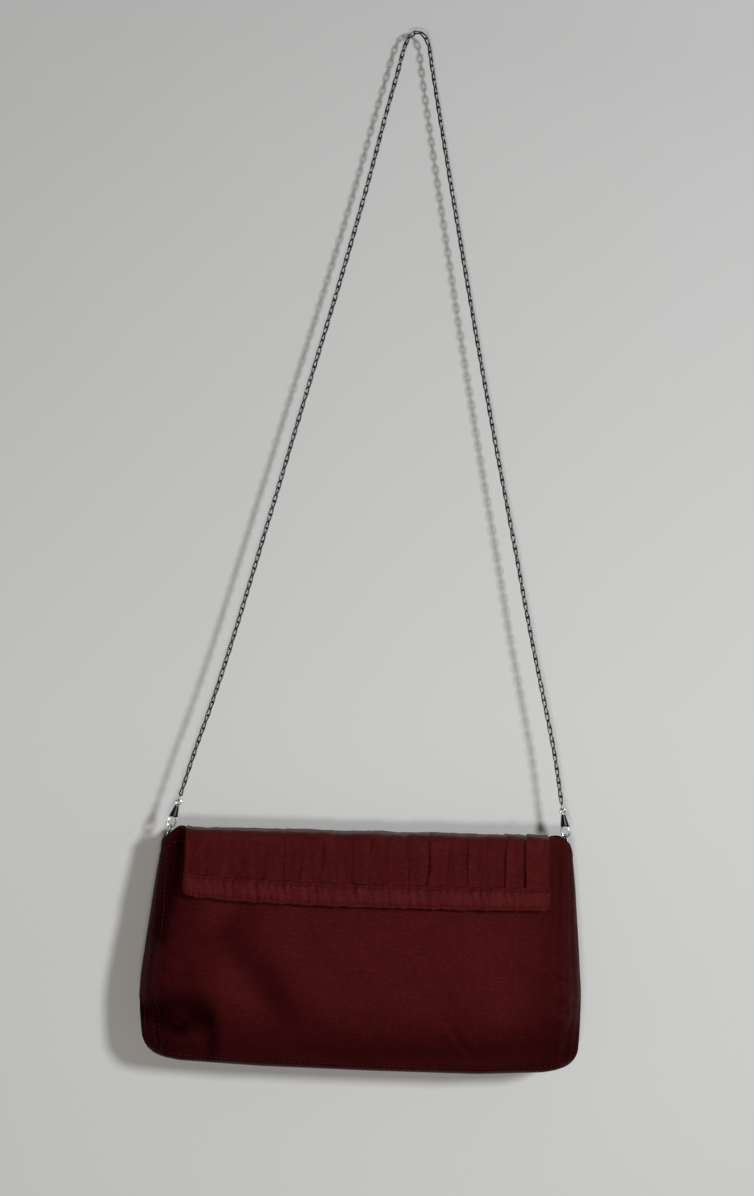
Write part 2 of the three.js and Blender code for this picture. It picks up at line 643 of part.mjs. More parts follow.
// Tabs, rings and snap hooks at the two top corners. Ring and hook lean in line with their end of the strap.
const chainEnds = [];
for (const [name, side] of [["left", -1], ["right", 1]]) {
  const bar = new THREE.Vector2(BAG_X + side * TAB_X, -RIM_DROP + RING_BAR_Z);
  const strapEnd = new THREE.Vector2(...CHAIN_ROUTE[side < 0 ? 0 : CHAIN_ROUTE.length - 1]);
  const along = strapEnd.sub(bar).normalize();
  const lean = Math.atan2(along.x, along.y);
  const pivot = bar.clone().addScaledVector(along, RING_HEIGHT - RING_LIFT);
  chainEnds.push(pivot.clone().addScaledVector(along, FITTING_LENGTH));

  const corner = new THREE.Group();
  corner.position.set(side * TAB_X, 0, RING_BAR_Z);
  bag.add(corner);
  addPiece(corner, name + "_tab", tab(), CLOTH);
  const leaning = new THREE.Group();
  leaning.rotation.y = lean;
  corner.add(leaning);
  addPiece(leaning, name + "_ring", cornerRing(), NICKEL);

  const fitting = new THREE.Group();
  fitting.position.set(pivot.x, 0, pivot.y);
  fitting.rotation.y = lean;
  root.add(fitting);
  addPiece(fitting, name + "_hook", hookBody(-side), GUNMETAL);
  addPiece(fitting, name + "_gate", gate(-side), NICKEL);
  addPiece(fitting, name + "_gate_pin", gatePin(-side), NICKEL);
  addPiece(fitting, name + "_swivel_eye", swivelEye(), NICKEL);
  addPiece(fitting, name + "_end_link", endLink(), NICKEL);
}

// The strap
const route = [chainEnds[0].toArray(), ...CHAIN_ROUTE, chainEnds[1].toArray()];
const routePoints = route.map(([x, z]) => new THREE.Vector3(x, 0, z));
addPiece(root, "strap_chain", tube(routePoints, CHAIN_RADIUS, CHAIN_SIDES, CHAIN_STEPS), GUNMETAL);

export default root;
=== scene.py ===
import math

import bmesh
import bpy
import numpy as np
from mathutils import Matrix, Vector


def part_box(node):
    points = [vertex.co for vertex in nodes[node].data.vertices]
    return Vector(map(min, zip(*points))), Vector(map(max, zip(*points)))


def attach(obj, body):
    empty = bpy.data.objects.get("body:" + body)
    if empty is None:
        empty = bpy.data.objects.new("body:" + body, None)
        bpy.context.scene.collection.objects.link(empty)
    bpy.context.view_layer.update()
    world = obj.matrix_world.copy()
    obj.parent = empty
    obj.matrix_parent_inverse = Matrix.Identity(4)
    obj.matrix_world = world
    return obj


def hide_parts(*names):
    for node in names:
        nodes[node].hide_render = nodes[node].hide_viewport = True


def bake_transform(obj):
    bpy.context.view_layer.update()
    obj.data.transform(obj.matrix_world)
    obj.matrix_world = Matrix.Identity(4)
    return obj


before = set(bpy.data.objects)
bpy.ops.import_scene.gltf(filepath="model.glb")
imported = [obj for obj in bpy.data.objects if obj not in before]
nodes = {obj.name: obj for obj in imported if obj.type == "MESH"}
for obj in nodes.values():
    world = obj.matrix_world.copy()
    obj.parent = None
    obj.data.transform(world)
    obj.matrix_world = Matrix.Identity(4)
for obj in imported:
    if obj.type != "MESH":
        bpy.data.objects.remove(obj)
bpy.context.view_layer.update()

# Lengths are in millimetres in the part's frame, and put() turns them into metres. The camera and
# the lamps are given in metres.
MM = 0.001
TAU = 2 * math.pi
BAG_X = -18.0
RIM_Z = -498.0

# Camera: level with the middle of the frame, rolled by the tilt that the bag has in the photo
CAMERA_X, CAMERA_Z = -0.016, -0.3496
CAMERA_DISTANCE = 1.6
CAMERA_ROLL = math.radians(1.5)
PHOTO_HEIGHT = 0.7415
SENSOR_WIDTH = 36

camera = bpy.data.objects.new("camera", bpy.data.cameras.new("camera"))
bpy.context.scene.collection.objects.link(camera)
camera.data.sensor_width = SENSOR_WIDTH
camera.data.lens = SENSOR_WIDTH * CAMERA_DISTANCE / PHOTO_HEIGHT
camera.matrix_world = Matrix(
    (
        (math.cos(CAMERA_ROLL), -math.sin(CAMERA_ROLL), 0, CAMERA_X),
        (0, 0, -1, -CAMERA_DISTANCE),
        (math.sin(CAMERA_ROLL), math.cos(CAMERA_ROLL), 0, CAMERA_Z),
        (0, 0, 0, 1),
    )
)
bpy.context.scene.camera = camera


# Makes a mesh object. wear and dark hold a value from 0 to 1 for each point, which cloth() reads: wear pales
# the cloth, and dark is painted shade.
def put(name, points, faces, material, uv=None, wear=None, smooth=True, dark=None):
    mesh = bpy.data.meshes.new(name)
    vertices = (np.asarray(points, float) * MM).tolist()
    mesh.from_pydata(vertices, [], [list(map(int, face)) for face in faces])
    mesh.update()
    if uv is not None:
        corner = np.zeros(len(mesh.loops), np.int32)
        mesh.loops.foreach_get("vertex_index", corner)
        layer = mesh.uv_layers.new(name="cloth")
        layer.data.foreach_set("uv", (uv[corner] * MM).astype(np.float32).ravel())
    for label, values in (("wear", wear), ("dark", dark)):
        if values is not None:
            layer = mesh.attributes.new(label, "FLOAT", "POINT")
            layer.data.foreach_set("value", np.asarray(values, np.float32))
    mesh.polygons.foreach_set("use_smooth", [smooth] * len(mesh.polygons))
    mesh.materials.append(material)
    made = bpy.data.objects.new(name, mesh)
    bpy.context.scene.collection.objects.link(made)
    return made


def smoothstep(low, high, value):
    t = np.clip((np.asarray(value, float) - low) / (high - low), 0, 1)
    return t * t * (3 - 2 * t)


# Soft unevenness of about the given size across x and y, between about -1 and 1
def unevenness(x, y, size, seed, count=16):
    rng = np.random.default_rng(seed)
    total = np.zeros(np.broadcast(x, y).shape)
    for _ in range(count):
        angle = rng.uniform(0, TAU)
        wave = TAU / (size * rng.uniform(0.7, 1.9))
        phase = rng.uniform(0, TAU)
        total = total + np.sin(wave * (np.cos(angle) * x + np.sin(angle) * y) + phase)
    return total / math.sqrt(count)


def bell(value, spread):
    return np.exp(-((value / spread) ** 2))


# 1 on a line through points, falling to 0 within a few times spread
def near_line(x, y, points, spread):
    best = np.full(np.broadcast(x, y).shape, 1e9)
    for (ax, ay), (bx, by) in zip(points, points[1:]):
        dx, dy = bx - ax, by - ay
        t = np.clip(((x - ax) * dx + (y - ay) * dy) / (dx * dx + dy * dy), 0, 1)
        best = np.minimum(best, np.hypot(x - ax - t * dx, y - ay - t * dy))
    return bell(best, spread)


def near_point(x, y, px, py, spread_x, spread_y):
    return bell(x - px, spread_x) * bell(y - py, spread_y)


# Smooth line through points, as three.js draws it for the CAD strap
def smooth_line(points, steps):
    p = [np.asarray(q, float) for q in points]
    p = [2 * p[0] - p[1], *p, 2 * p[-1] - p[-2]]
    t = np.linspace(0, 1, steps, endpoint=False)[:, None]
    from_b, from_c = 2 * t**3 - 3 * t**2 + 1, 3 * t**2 - 2 * t**3
    out = []
    for i in range(1, len(p) - 2):
        a, b, c, d = p[i - 1 : i + 3]
        t1, t2, t3 = (max(np.linalg.norm(q - r) ** 0.5, 1e-6) for q, r in ((b, a), (c, b), (d, c)))
        m1 = ((b - a) / t1 - (c - a) / (t1 + t2) + (c - b) / t2) * t2
        m2 = ((c - b) / t2 - (d - b) / (t2 + t3) + (d - c) / t3) * t2
        out.append(from_b * b + (t**3 - 2 * t**2 + t) * m1 + from_c * c + (t**3 - t**2) * m2)
    out.append(p[-2][None])
    return np.concatenate(out)


def length_along(line):
    return np.concatenate([[0], np.cumsum(np.linalg.norm(np.diff(line, axis=0), axis=1))])


def at_length(line, wanted):
    run = length_along(line)
    return np.stack([np.interp(wanted, run, line[:, k]) for k in range(line.shape[1])], axis=-1)


def unit(v):
    return v / np.maximum(np.linalg.norm(v, axis=-1, keepdims=True), 1e-12)


# A tube along a line. side and up are the cross-section's axes at each point of the line, and a
# power below 1 makes the section squarer.
def tube(line, side, up, half_side, half_up, sides, closed, power=1.0):
    angle = TAU * np.arange(sides) / sides
    cos, sin = np.cos(angle), np.sin(angle)
    across = (np.sign(cos) * np.abs(cos) ** power)[None, :, None]
    above = (np.sign(sin) * np.abs(sin) ** power)[None, :, None]
    half_side = np.broadcast_to(half_side, len(line))[:, None, None]
    half_up = np.broadcast_to(half_up, len(line))[:, None, None]
    ring = line[:, None] + side[:, None] * across * half_side + up[:, None] * above * half_up
    count = len(line)
    faces = []
    for i in range(count if closed else count - 1):
        k = (i + 1) % count
        for j in range(sides):
            m = (j + 1) % sides
            faces.append((i * sides + j, i * sides + m, k * sides + m, k * sides + j))
    if not closed:
        faces.append(tuple(range(sides - 1, -1, -1)))
        faces.append(tuple(range((count - 1) * sides, count * sides)))
    return ring.reshape(-1, 3), faces


def joined(parts):
    points, faces, start = [], [], 0
    for p, f in parts:
        points.append(p)
        faces += [tuple(i + start for i in face) for face in f]
        start += len(p)
    return np.concatenate(points), faces


def new_material(name):
    made = bpy.data.materials.new(name)
    made.use_nodes = True
    tree = made.node_tree
    return made, tree, next(n for n in tree.nodes if n.type == "BSDF_PRINCIPLED")


def set_inputs(made, **values):
    for key, value in values.items():
        made.inputs[key.replace("_", " ")].default_value = value


# Adds a shader node. Each value goes to the node's property of that name, or else to its input.
def node(tree, kind, **values):
    made = tree.nodes.new("ShaderNode" + kind)
    for key, value in values.items():
        if hasattr(made, key):
            setattr(made, key, value)
        else:
            set_inputs(made, **{key: value})
    return made


def noise(tree, source, scale, detail=2.0, rough=0.5):
    stretched = node(tree, "Mapping", Scale=scale)
    made = node(tree, "TexNoise", Scale=1.0, Detail=detail, Roughness=rough)
    tree.links.new(source, stretched.inputs["Vector"])
    tree.links.new(stretched.outputs["Vector"], made.inputs["Vector"])
    return made.outputs["Fac"]


def ramp(tree, value, low, high, to_low=0.0, to_high=1.0):
    made = node(tree, "MapRange", From_Min=low, From_Max=high, To_Min=to_low, To_Max=to_high)
    tree.links.new(value, made.inputs["Value"])
    return made.outputs["Result"]


def maths(tree, kind, a, b):
    made = node(tree, "Math", operation=kind)
    for socket, value in zip(made.inputs, (a, b)):
        if isinstance(value, (int, float)):
            socket.default_value = value
        else:
            tree.links.new(value, socket)
    return made.outputs["Value"]


# Mixes two colours, each a tuple or a socket.
def mix(tree, amount, a, b):
    made = node(tree, "Mix", data_type="RGBA")
    sockets = [s for s in made.inputs if s.type == "RGBA"]
    tree.links.new(amount, made.inputs[0])
    for socket, value in zip(sockets, (a, b)):
        if isinstance(value, tuple):
            socket.default_value = (*value, 1.0)
        else:
            tree.links.new(value, socket)
    return next(s for s in made.outputs if s.type == "RGBA")


# Mixes two shaders into a tree's output of the given type.
def mix_out(tree, output_type, amount, a, b):
    both = node(tree, "MixShader")
    for socket, source in zip(both.inputs, (amount, a, b)):
        tree.links.new(source, socket)
    output = next(n for n in tree.nodes if n.type == output_type)
    tree.links.new(both.outputs[0], output.inputs["Surface"])


def bump(tree, height, distance, strength, after=None):
    made = node(tree, "Bump", Strength=strength, Distance=distance)
    tree.links.new(height, made.inputs["Height"])
    if after is not None:
        tree.links.new(after, made.inputs["Normal"])
    return made.outputs["Normal"]


def attribute(tree, name):
    return node(tree, "Attribute", attribute_name=name, attribute_type="GEOMETRY").outputs["Fac"]


def shade_of(colour, factor, added=0.0):
    return tuple(min(1.0, factor * c + added) for c in colour)


# Repeats of a wave texture in one unit, at a scale of 1
WAVES_PER_UNIT = 3.183


# Woven bands one way and the other, thread apart
def weave(tree, mm, thread):
    bands = []
    for direction, pitch in (("X", thread), ("Y", thread * 1.15)):
        wave = node(tree, "TexWave", wave_type="BANDS", bands_direction=direction, wave_profile="SIN")
        set_inputs(wave, Scale=1 / pitch / WAVES_PER_UNIT, Distortion=0.6, Detail=1.0, Detail_Scale=0.4)
        tree.links.new(mm, wave.inputs["Vector"])
        bands.append(wave.outputs["Fac"])
    return maths(tree, "MAXIMUM", *bands)


# Slubbed cloth: thick and thin threads across and fine ones down, in the colours of its weft, its
# warp and its duller patches. Worn places are paler, and places under painted shade are deeper and less
# shiny.
def cloth(name, weft, warp, dull, thread=0.55, slub=1.0, sheen=0.03, rough=0.45, gloss=0.28):
    made, tree, shader = new_material(name)
    scaled = node(tree, "VectorMath", operation="SCALE", Scale=1 / MM)
    tree.links.new(node(tree, "UVMap", uv_map="cloth").outputs["UV"], scaled.inputs[0])
    mm = scaled.outputs["Vector"]
    across = noise(tree, mm, (0.13, 1.9, 1), 3.0, 0.65)
    thick = noise(tree, mm, (0.06, 0.9, 1))
    down = noise(tree, mm, (1.3, 0.09, 1), 2.0, 0.65)
    cloudy = noise(tree, mm, (0.045, 0.06, 1), 4.0, 0.6)
    grain = noise(tree, mm, (1.1, 1.5, 1), 3.0, 0.75)
    fleck = noise(tree, mm, (0.34, 1.3, 1), 2.0, 0.6)
    wear, dark = attribute(tree, "wear"), attribute(tree, "dark")
    rubbed = maths(tree, "MULTIPLY", wear, ramp(tree, cloudy, 0.3, 0.65))

    uneven = ramp(tree, across, 0.32, 0.68, 0.0, 0.45)
    grainy = ramp(tree, grain, 0.34, 0.66, 0.0, 0.55)
    colour = mix(tree, maths(tree, "ADD", uneven, grainy), warp, weft)
    colour = mix(tree, ramp(tree, cloudy, 0.35, 0.7, 0.0, 0.45), colour, dull)
    colour = mix(tree, ramp(tree, down, 0.5, 0.75, 0.0, 0.4), colour, warp)
    colour = mix(tree, ramp(tree, fleck, 0.54, 0.74, 0.0, 0.75), colour, shade_of(weft, 1.75, 0.004))
    colour = mix(tree, maths(tree, "MULTIPLY", rubbed, 0.5), colour, shade_of(weft, 1.9, 0.01))
    # Painted shade: the dark attribute deepens the colour here and dulls the shine below.
    colour = mix(tree, dark, colour, shade_of(warp, 0.22))
    roughness = ramp(tree, cloudy, 0.3, 0.75, rough - 0.05, rough + 0.08)
    shine = ramp(tree, dark, 0.0, 1.0, gloss, 0.1 * gloss)

    slubs = maths(tree, "MULTIPLY", ramp(tree, thick, 0.55, 0.8), 1.2)
    slubs = maths(tree, "ADD", ramp(tree, across, 0.45, 0.8), slubs)
    normal = bump(tree, weave(tree, mm, thread), 0.00010, 0.7)
    normal = bump(tree, slubs, 0.00013 * slub, 0.8, normal)
    normal = bump(tree, down, 0.00012, 0.5, normal)

    tree.links.new(colour, shader.inputs["Base Color"])
    tree.links.new(roughness, shader.inputs["Roughness"])
    tree.links.new(shine, shader.inputs["Specular IOR Level"])
    tree.links.new(normal, shader.inputs["Normal"])
    set_inputs(shader, Specular_Tint=(1.0, 0.16, 0.15, 1.0), Sheen_Tint=(*shade_of(weft, 6.0), 1.0))
    set_inputs(shader, Sheen_Weight=sheen, Sheen_Roughness=0.45)
    return made


# Heights, in metres, between which a bright hook turns into its dark barrel
BARREL_EDGE = (-0.4890, -0.4884)


def metal(name, bright, tarnished, rough, spots=0.4, barrel=None):
    made, tree, shader = new_material(name)
    place = node(tree, "TexCoord").outputs["Object"]
    tarnish = noise(tree, place, (420, 420, 420), 3.0, 0.6)
    scratch = noise(tree, place, (2600, 700, 1500), 2.0, 0.6)
    colour = mix(tree, ramp(tree, tarnish, 0.42, 0.72, 0.0, spots), bright, tarnished)
    if barrel is not None:
        apart = node(tree, "SeparateXYZ")
        tree.links.new(place, apart.inputs["Vector"])
        colour = mix(tree, ramp(tree, apart.outputs["Z"], *BARREL_EDGE), colour, barrel)
    roughness = ramp(tree, scratch, 0.3, 0.7, rough * 0.75, rough * 1.35)
    rounded = node(tree, "Bevel", samples=6, Radius=0.00025).outputs["Normal"]
    tree.links.new(colour, shader.inputs["Base Color"])
    tree.links.new(roughness, shader.inputs["Roughness"])
    tree.links.new(bump(tree, scratch, 0.00003, 0.5, rounded), shader.inputs["Normal"])
    set_inputs(shader, Metallic=1.0)
    return made


def card(name, light, dark):
    made, tree, shader = new_material(name)
    place = node(tree, "TexCoord").outputs["Object"]
    fibres = noise(tree, place, (300, 900, 900), 4.0, 0.7)
    colour = mix(tree, ramp(tree, fibres, 0.3, 0.7), light, dark)
    tree.links.new(colour, shader.inputs["Base Color"])
    tree.links.new(bump(tree, fibres, 0.0001, 0.5), shader.inputs["Normal"])
    set_inputs(shader, Roughness=0.9)
    return made


BRIGHT, TARNISHED = (0.72, 0.72, 0.71), (0.42, 0.41, 0.39)
CLOTH = cloth("maroon_cloth", (0.057, 0.0042, 0.0052), (0.030, 0.0024, 0.0036), (0.037, 0.0029, 0.0036))
BAND = cloth("band_cloth", (0.072, 0.0072, 0.0082), (0.043, 0.0042, 0.0055), (0.052, 0.005, 0.0062), slub=0.9)
SATIN = cloth(
    "lining_satin", (0.045, 0.0085, 0.012), (0.030, 0.006, 0.009), (0.026, 0.005, 0.0075),
    thread=0.22, slub=0.25, sheen=0.05, rough=0.34, gloss=0.4,
)  # fmt: skip
THREAD = cloth(
    "thread", (0.11, 0.011, 0.012), (0.07, 0.007, 0.009), (0.07, 0.007, 0.008),
    thread=0.3, slub=0.4, sheen=0.1, rough=0.5, gloss=0.25,
)  # fmt: skip
NICKEL = metal("nickel", BRIGHT, TARNISHED, 0.22)
HOOK = metal("hook_metal", BRIGHT, TARNISHED, 0.24, barrel=(0.045, 0.045, 0.047))
CHAIN = metal("chain_metal", (0.13, 0.13, 0.132), (0.022, 0.021, 0.020), 0.26, spots=0.8)
CARD = card("card", (0.31, 0.27, 0.21), (0.22, 0.19, 0.15))

# Strap: a chain of oval links, each at right angles to the next, along the line in which it hangs
LEFT_END = (-134.5813, -474.7192)
RIGHT_END = (101.7315, -473.9792)
ROUTE = [
    LEFT_END, (-125.8, -445.5), (-117.6, -420.5), (-106.6, -384), (-85.2, -306), (-64.2, -228),
    (-43.8, -153), (-28.8, -94.5), (-17.6, -47), (-11.8, -24), (-9.6, -14.6), (-7.4, -6.6),
    (-4.4, -0.8), (0, 1.5), (4.4, -0.8), (7.2, -6.8), (8.8, -15.4), (10.6, -25.8), (16.2, -56),
    (31.4, -135), (40.6, -182), (56.2, -258), (68.4, -315), (80.6, -373), (88.4, -407), (96.6, -444),
    RIGHT_END,
]  # fmt: skip
LINK_WIRE = 0.5
LINK_HALF_WIDTH = 1.6
LINK_PITCH = 4.35
LINK_OVERLAP = 0.85 * LINK_WIRE
LINK_POINTS, LINK_SIDES = 22, 8
# Degrees: how links lean from the wall, how evenly, and how far each is twisted along its length
LINK_LEAN, LINK_UNEVEN, LINK_TWIST = 38, 9, 16

strap_line = smooth_line([(x, 0, z) for x, z in ROUTE], 24)
strap_length = length_along(strap_line)[-1]


# Points across and along one link's wire
def link_oval(pitch):
    turn = TAU * np.arange(LINK_POINTS) / LINK_POINTS
    bend = LINK_HALF_WIDTH - LINK_WIRE
    straight = pitch / 2 + LINK_WIRE - 1.1 * bend
    along = bend * np.cos(turn) + np.sign(np.cos(turn)) * straight
    along *= (pitch / 2 + LINK_OVERLAP) / np.abs(along).max()
    return bend * np.sin(turn), along


def chain_links():
    count = int(round(strap_length / LINK_PITCH))
    pitch = strap_length / count
    rng = np.random.default_rng(4)
    across, along = (side[:, None] for side in link_oval(pitch))
    twist = math.radians(LINK_TWIST) * along / np.abs(along).max()
    parts = []
    for k in range(count):
        middle, before, after = (at_length(strap_line, pitch * (k + h)) for h in (0.5, 0.1, 0.9))
        tangent = unit(after - before)
        sideways = unit(np.cross(tangent, (0, 1, 0)))
        lean = math.radians(LINK_LEAN + 90 * (k % 2) + rng.uniform(-LINK_UNEVEN, LINK_UNEVEN))
        side = math.cos(lean) * sideways + math.sin(lean) * np.array((0, 1.0, 0))
        flat = np.cross(side, tangent)
        line = middle + across * (side * np.cos(twist) + flat * np.sin(twist)) + along * tangent
        ahead = unit(np.roll(line, -1, 0) - np.roll(line, 1, 0))
        outward = unit(np.cross(ahead, np.broadcast_to(flat, ahead.shape)))
        up = np.cross(outward, ahead)
        parts.append(tube(line, outward, up, LINK_WIRE, LINK_WIRE, LINK_SIDES, True))
    return joined(parts)


chain = put("strap_links", *chain_links(), CHAIN)
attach(chain, "strap")
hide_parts("strap_chain")

# Body: its half depth and the radius of its corners grow from the rim to the depth where it is full.
BODY_HEIGHT = 143.0
BOTTOM_ROUND = 11.0
FULL_FROM = 95.0
RIM_HALF_DEPTH, FULL_HALF_DEPTH = 8.0, 22.0
RIM_CORNER, FULL_CORNER = 6.5, 15.0
LEAST_CORNER = 0.6
# Half length of the line along the middle of its floor
FLOOR_HALF = 118
# Columns of points across a panel, round a corner and across a gusset
FLAT_COLUMNS = 150
CORNER_COLUMNS = 11
GUSSET_COLUMNS = 9
# How far up and down a size that is read at some depths is softened
SOFTENED = 9
# Depth of the bottom edge at places across the front
BOTTOM = (
    [-137, -132, -112, -60, 5, 72, 112, 131, 136],
    [134.6, 136.0, 139.4, 141.6, 142.7, 143.1, 141.0, 137.2, 135.6],
)


# A size that changes smoothly with depth, from the ones read at some depths
def by_depth(depths, values):
    fine = np.arange(-12, 160, 1.0)
    window = np.hanning(2 * SOFTENED + 1)
    padded = np.pad(np.interp(fine, depths, values), SOFTENED, mode="edge")
    soft = np.convolve(padded, window / window.sum(), "valid")
    return lambda depth: np.interp(depth, fine, soft)


left_half = by_depth(
    [-5, 0, 4, 33, 87, 106, 129, 143],
    [126.0, 126.6, 127.0, 131.2, 137.4, 138.5, 136.6, 133.6],
)
right_half = by_depth([-5, 0, 4, 29, 91, 124, 143], [124.6, 126.2, 126.8, 129.4, 134.4, 134.0, 132.6])


# Changes from the value at the rim to the one where the body is full.
def swelling(depth, at_rim, when_full):
    share = np.sin(math.pi / 2 * np.clip(np.asarray(depth, float) / FULL_FROM, 0, 1))
    return at_rim + (when_full - at_rim) * share


def half_depth(depth):
    return swelling(depth, RIM_HALF_DEPTH, FULL_HALF_DEPTH)


def bottom_depth(x):
    return np.interp(x, *BOTTOM)


# Columns round the body: the corner each belongs to, and the direction its surface faces
def body_columns():
    rows = [(-1 + 2 * i / FLAT_COLUMNS, -1, 0, -1) for i in range(FLAT_COLUMNS)]
    turns = [math.pi / 2 * i / CORNER_COLUMNS for i in range(CORNER_COLUMNS)]
    rows += [(1, -1, math.sin(a), -math.cos(a)) for a in turns]
    rows += [(1, -1 + 2 * i / GUSSET_COLUMNS, 1, 0) for i in range(GUSSET_COLUMNS)]
    rows += [(1, 1, math.cos(a), math.sin(a)) for a in turns]
    half = np.array(rows)
    return np.concatenate([half, -half])


COLUMNS = body_columns()
FACING_X, FACING_Y = COLUMNS[:, 2], COLUMNS[:, 3]


# Points round the body at a depth, moved in by an inset all round and by room at the two ends
def body_xy(depth, inset, room=0.0):
    sx, sy, cx, cy = COLUMNS.T
    right = (sx > 0) | (cx > 0)
    a = np.where(right, right_half(depth), left_half(depth)) - inset - room
    b = half_depth(depth) - inset
    r = np.maximum(swelling(depth, RIM_CORNER, FULL_CORNER) - inset, LEAST_CORNER)
    return sx * (a - r) + cx * r, sy * (b - r) + cy * r


# Depth of the rim round the body: raised beside the flap, dipping at the gussets
def rim_depth():
    x, y = body_xy(0.0, 0.0)
    gusset = smoothstep(7.0, 2.4, np.abs(y)) * (np.abs(x) > 118)
    right = -3.4 * smoothstep(109, 116, x) + 1.5 * smoothstep(119, 125, x)
    left = -3.6 * smoothstep(108, 115, -x) + 5.2 * smoothstep(117, 125, -x)
    return np.where(x > 0, right, left) * (1 - gusset) + 4.2 * gusset


RIM = rim_depth()

# Folds and dents, at x from the bag's middle and a depth: (height, line, spread), and
# (height, x, depth, spread across, spread down)
FRONT_LINES = [
    (-2.0, [(-84, 50), (-68, 78), (-44, 112)], 12),
    (-3.0, [(-140, 110), (-126, 113), (-112, 119)], 4.2),
    (-1.5, [(-96, 112), (-92.5, 123), (-92, 134)], 4.0),
    (-1.6, [(-131, 117), (-129, 131)], 4.0),
    (0.45, [(50, 116), (60, 129)], 2.2),
    (0.4, [(62, 119), (70, 130)], 2.0),
    (-0.4, [(56, 117), (66, 130)], 2.6),
    (-1.0, [(-40, 137), (60, 133), (110, 127)], 6.0),
    (-1.6, [(-116, 4), (-120, 26), (-124, 48)], 4.0),
    (-0.9, [(118, 12), (119.5, 60), (120, 100), (119, 132)], 1.7),
]
FRONT_SPOTS = [
    (1.6, 4, 66, 74, 30),
    (2.1, -96, 92, 17, 13),
    (-3.2, -113, 108, 17, 8),
    (-2.6, -101, 112, 8.5, 10),
    (2.9, -114, 129, 15, 6.5),
]
BACK_LINES = [(-1.2, [(88, 70), (104, 118)], 7), (-2.0, [(-136, 108), (-112, 124)], 5)]
RIGHT_SEAM = [(119, 20), (122.5, 60), (124.5, 95), (124, 130)]
LEFT_SEAM = [(-120, 60), (-124, 95), (-124, 128)]
# Painted shade, given in the same way: how much deeper the colour is along lines and at spots of the front,
# in its dent, its folds and the hollow beside the flap
PAINTED_SHADE_LINES = [
    (0.95, [(-142, 109), (-126, 112), (-112, 118)], 5.0),
    (0.75, [(-95, 114), (-92.5, 124), (-93, 136)], 4.5),
    (0.85, [(-116, 0), (-121, 26), (-126, 62)], 6.5),
    (0.5, [(-84, 60), (-66, 84), (-48, 108)], 10),
]
PAINTED_SHADE_SPOTS = [(0.95, -101, 112, 10, 9), (0.7, -118, 106, 18, 9)]


# What each line and each spot gives at x and depth
def marks(x, depth, lines, spots=()):
    drawn = [height * near_line(x, depth, line, spread) for height, line, spread in lines]
    return drawn + [height * near_point(x, depth, *spot) for height, *spot in spots]


# How far the cloth stands out from the plain shape at a place, on the front or the back
def cloth_lift(x, depth, facing_y):
    live = smoothstep(2, 26, depth) * (1 - 0.55 * smoothstep(118, 143, depth))
    lift = (0.5 * unevenness(x, depth, 46, 3) + 0.16 * unevenness(x, depth, 17, 5)) * live
    crown = np.where(x < 0, -4.2, -2.0) * smoothstep(62, 136, np.abs(x)) ** 1.4
    crown = crown - 5.0 * smoothstep(92, 144, depth) ** 1.5
    pucker = 0.62 * np.sin(TAU * (depth - 77) / 16.4 + 1.5) + 0.25 * np.sin(TAU * depth / 7.1)
    front = lift + crown * smoothstep(30, 62, depth) + sum(marks(x, depth, FRONT_LINES, FRONT_SPOTS))
    front = front + near_line(x, depth, RIGHT_SEAM, 5.5) * pucker * smoothstep(52, 74, depth)
    front = front + near_line(x, depth, LEFT_SEAM, 5.0) * 0.4 * np.sin(TAU * depth / 12.5)
    flat_at_snap = 1 - near_point(x, depth, 0, 24, 20, 20)
    behind = 0.7 * unevenness(x, depth, 58, 11) * live + sum(marks(x, depth, BACK_LINES))
    return np.where(facing_y < -0.2, front * flat_at_snap, lift * 0.6 + behind * live)


# Painted shade: how much deeper the colour is on the front, at the sides, along the bottom and in the dent
def painted_body_shade(x, depth):
    left = (1 - 0.5 * smoothstep(82, 130, np.abs(x))) * (1 - 0.62 * smoothstep(98, 138, depth))
    for amount in marks(x, depth, PAINTED_SHADE_LINES, PAINTED_SHADE_SPOTS):
        left = left * (1 - amount)
    return 1 - left


# Rows of a shell from the rim down to the middle of its floor, as (kind, place, inset, inwards). The
# place is a share of the wall's height in a wall row, and a depth in the others.
def shell_rows(offset, first, floor_rise, wall_rows, round_rows, floor_rows):
    rows = [("wall", i / wall_rows, offset, 0.0) for i in range(first, wall_rows)]
    radius = BOTTOM_ROUND - offset
    floor = BODY_HEIGHT - floor_rise
    for i in range(round_rows + 1):
        a = math.pi / 2 * i / round_rows
        depth = floor - radius + radius * math.sin(a)
        rows.append(("round", depth, offset + radius * (1 - math.cos(a)), 0.0))
    return rows + [("floor", floor, BOTTOM_ROUND, i / floor_rows) for i in range(1, floor_rows + 1)]


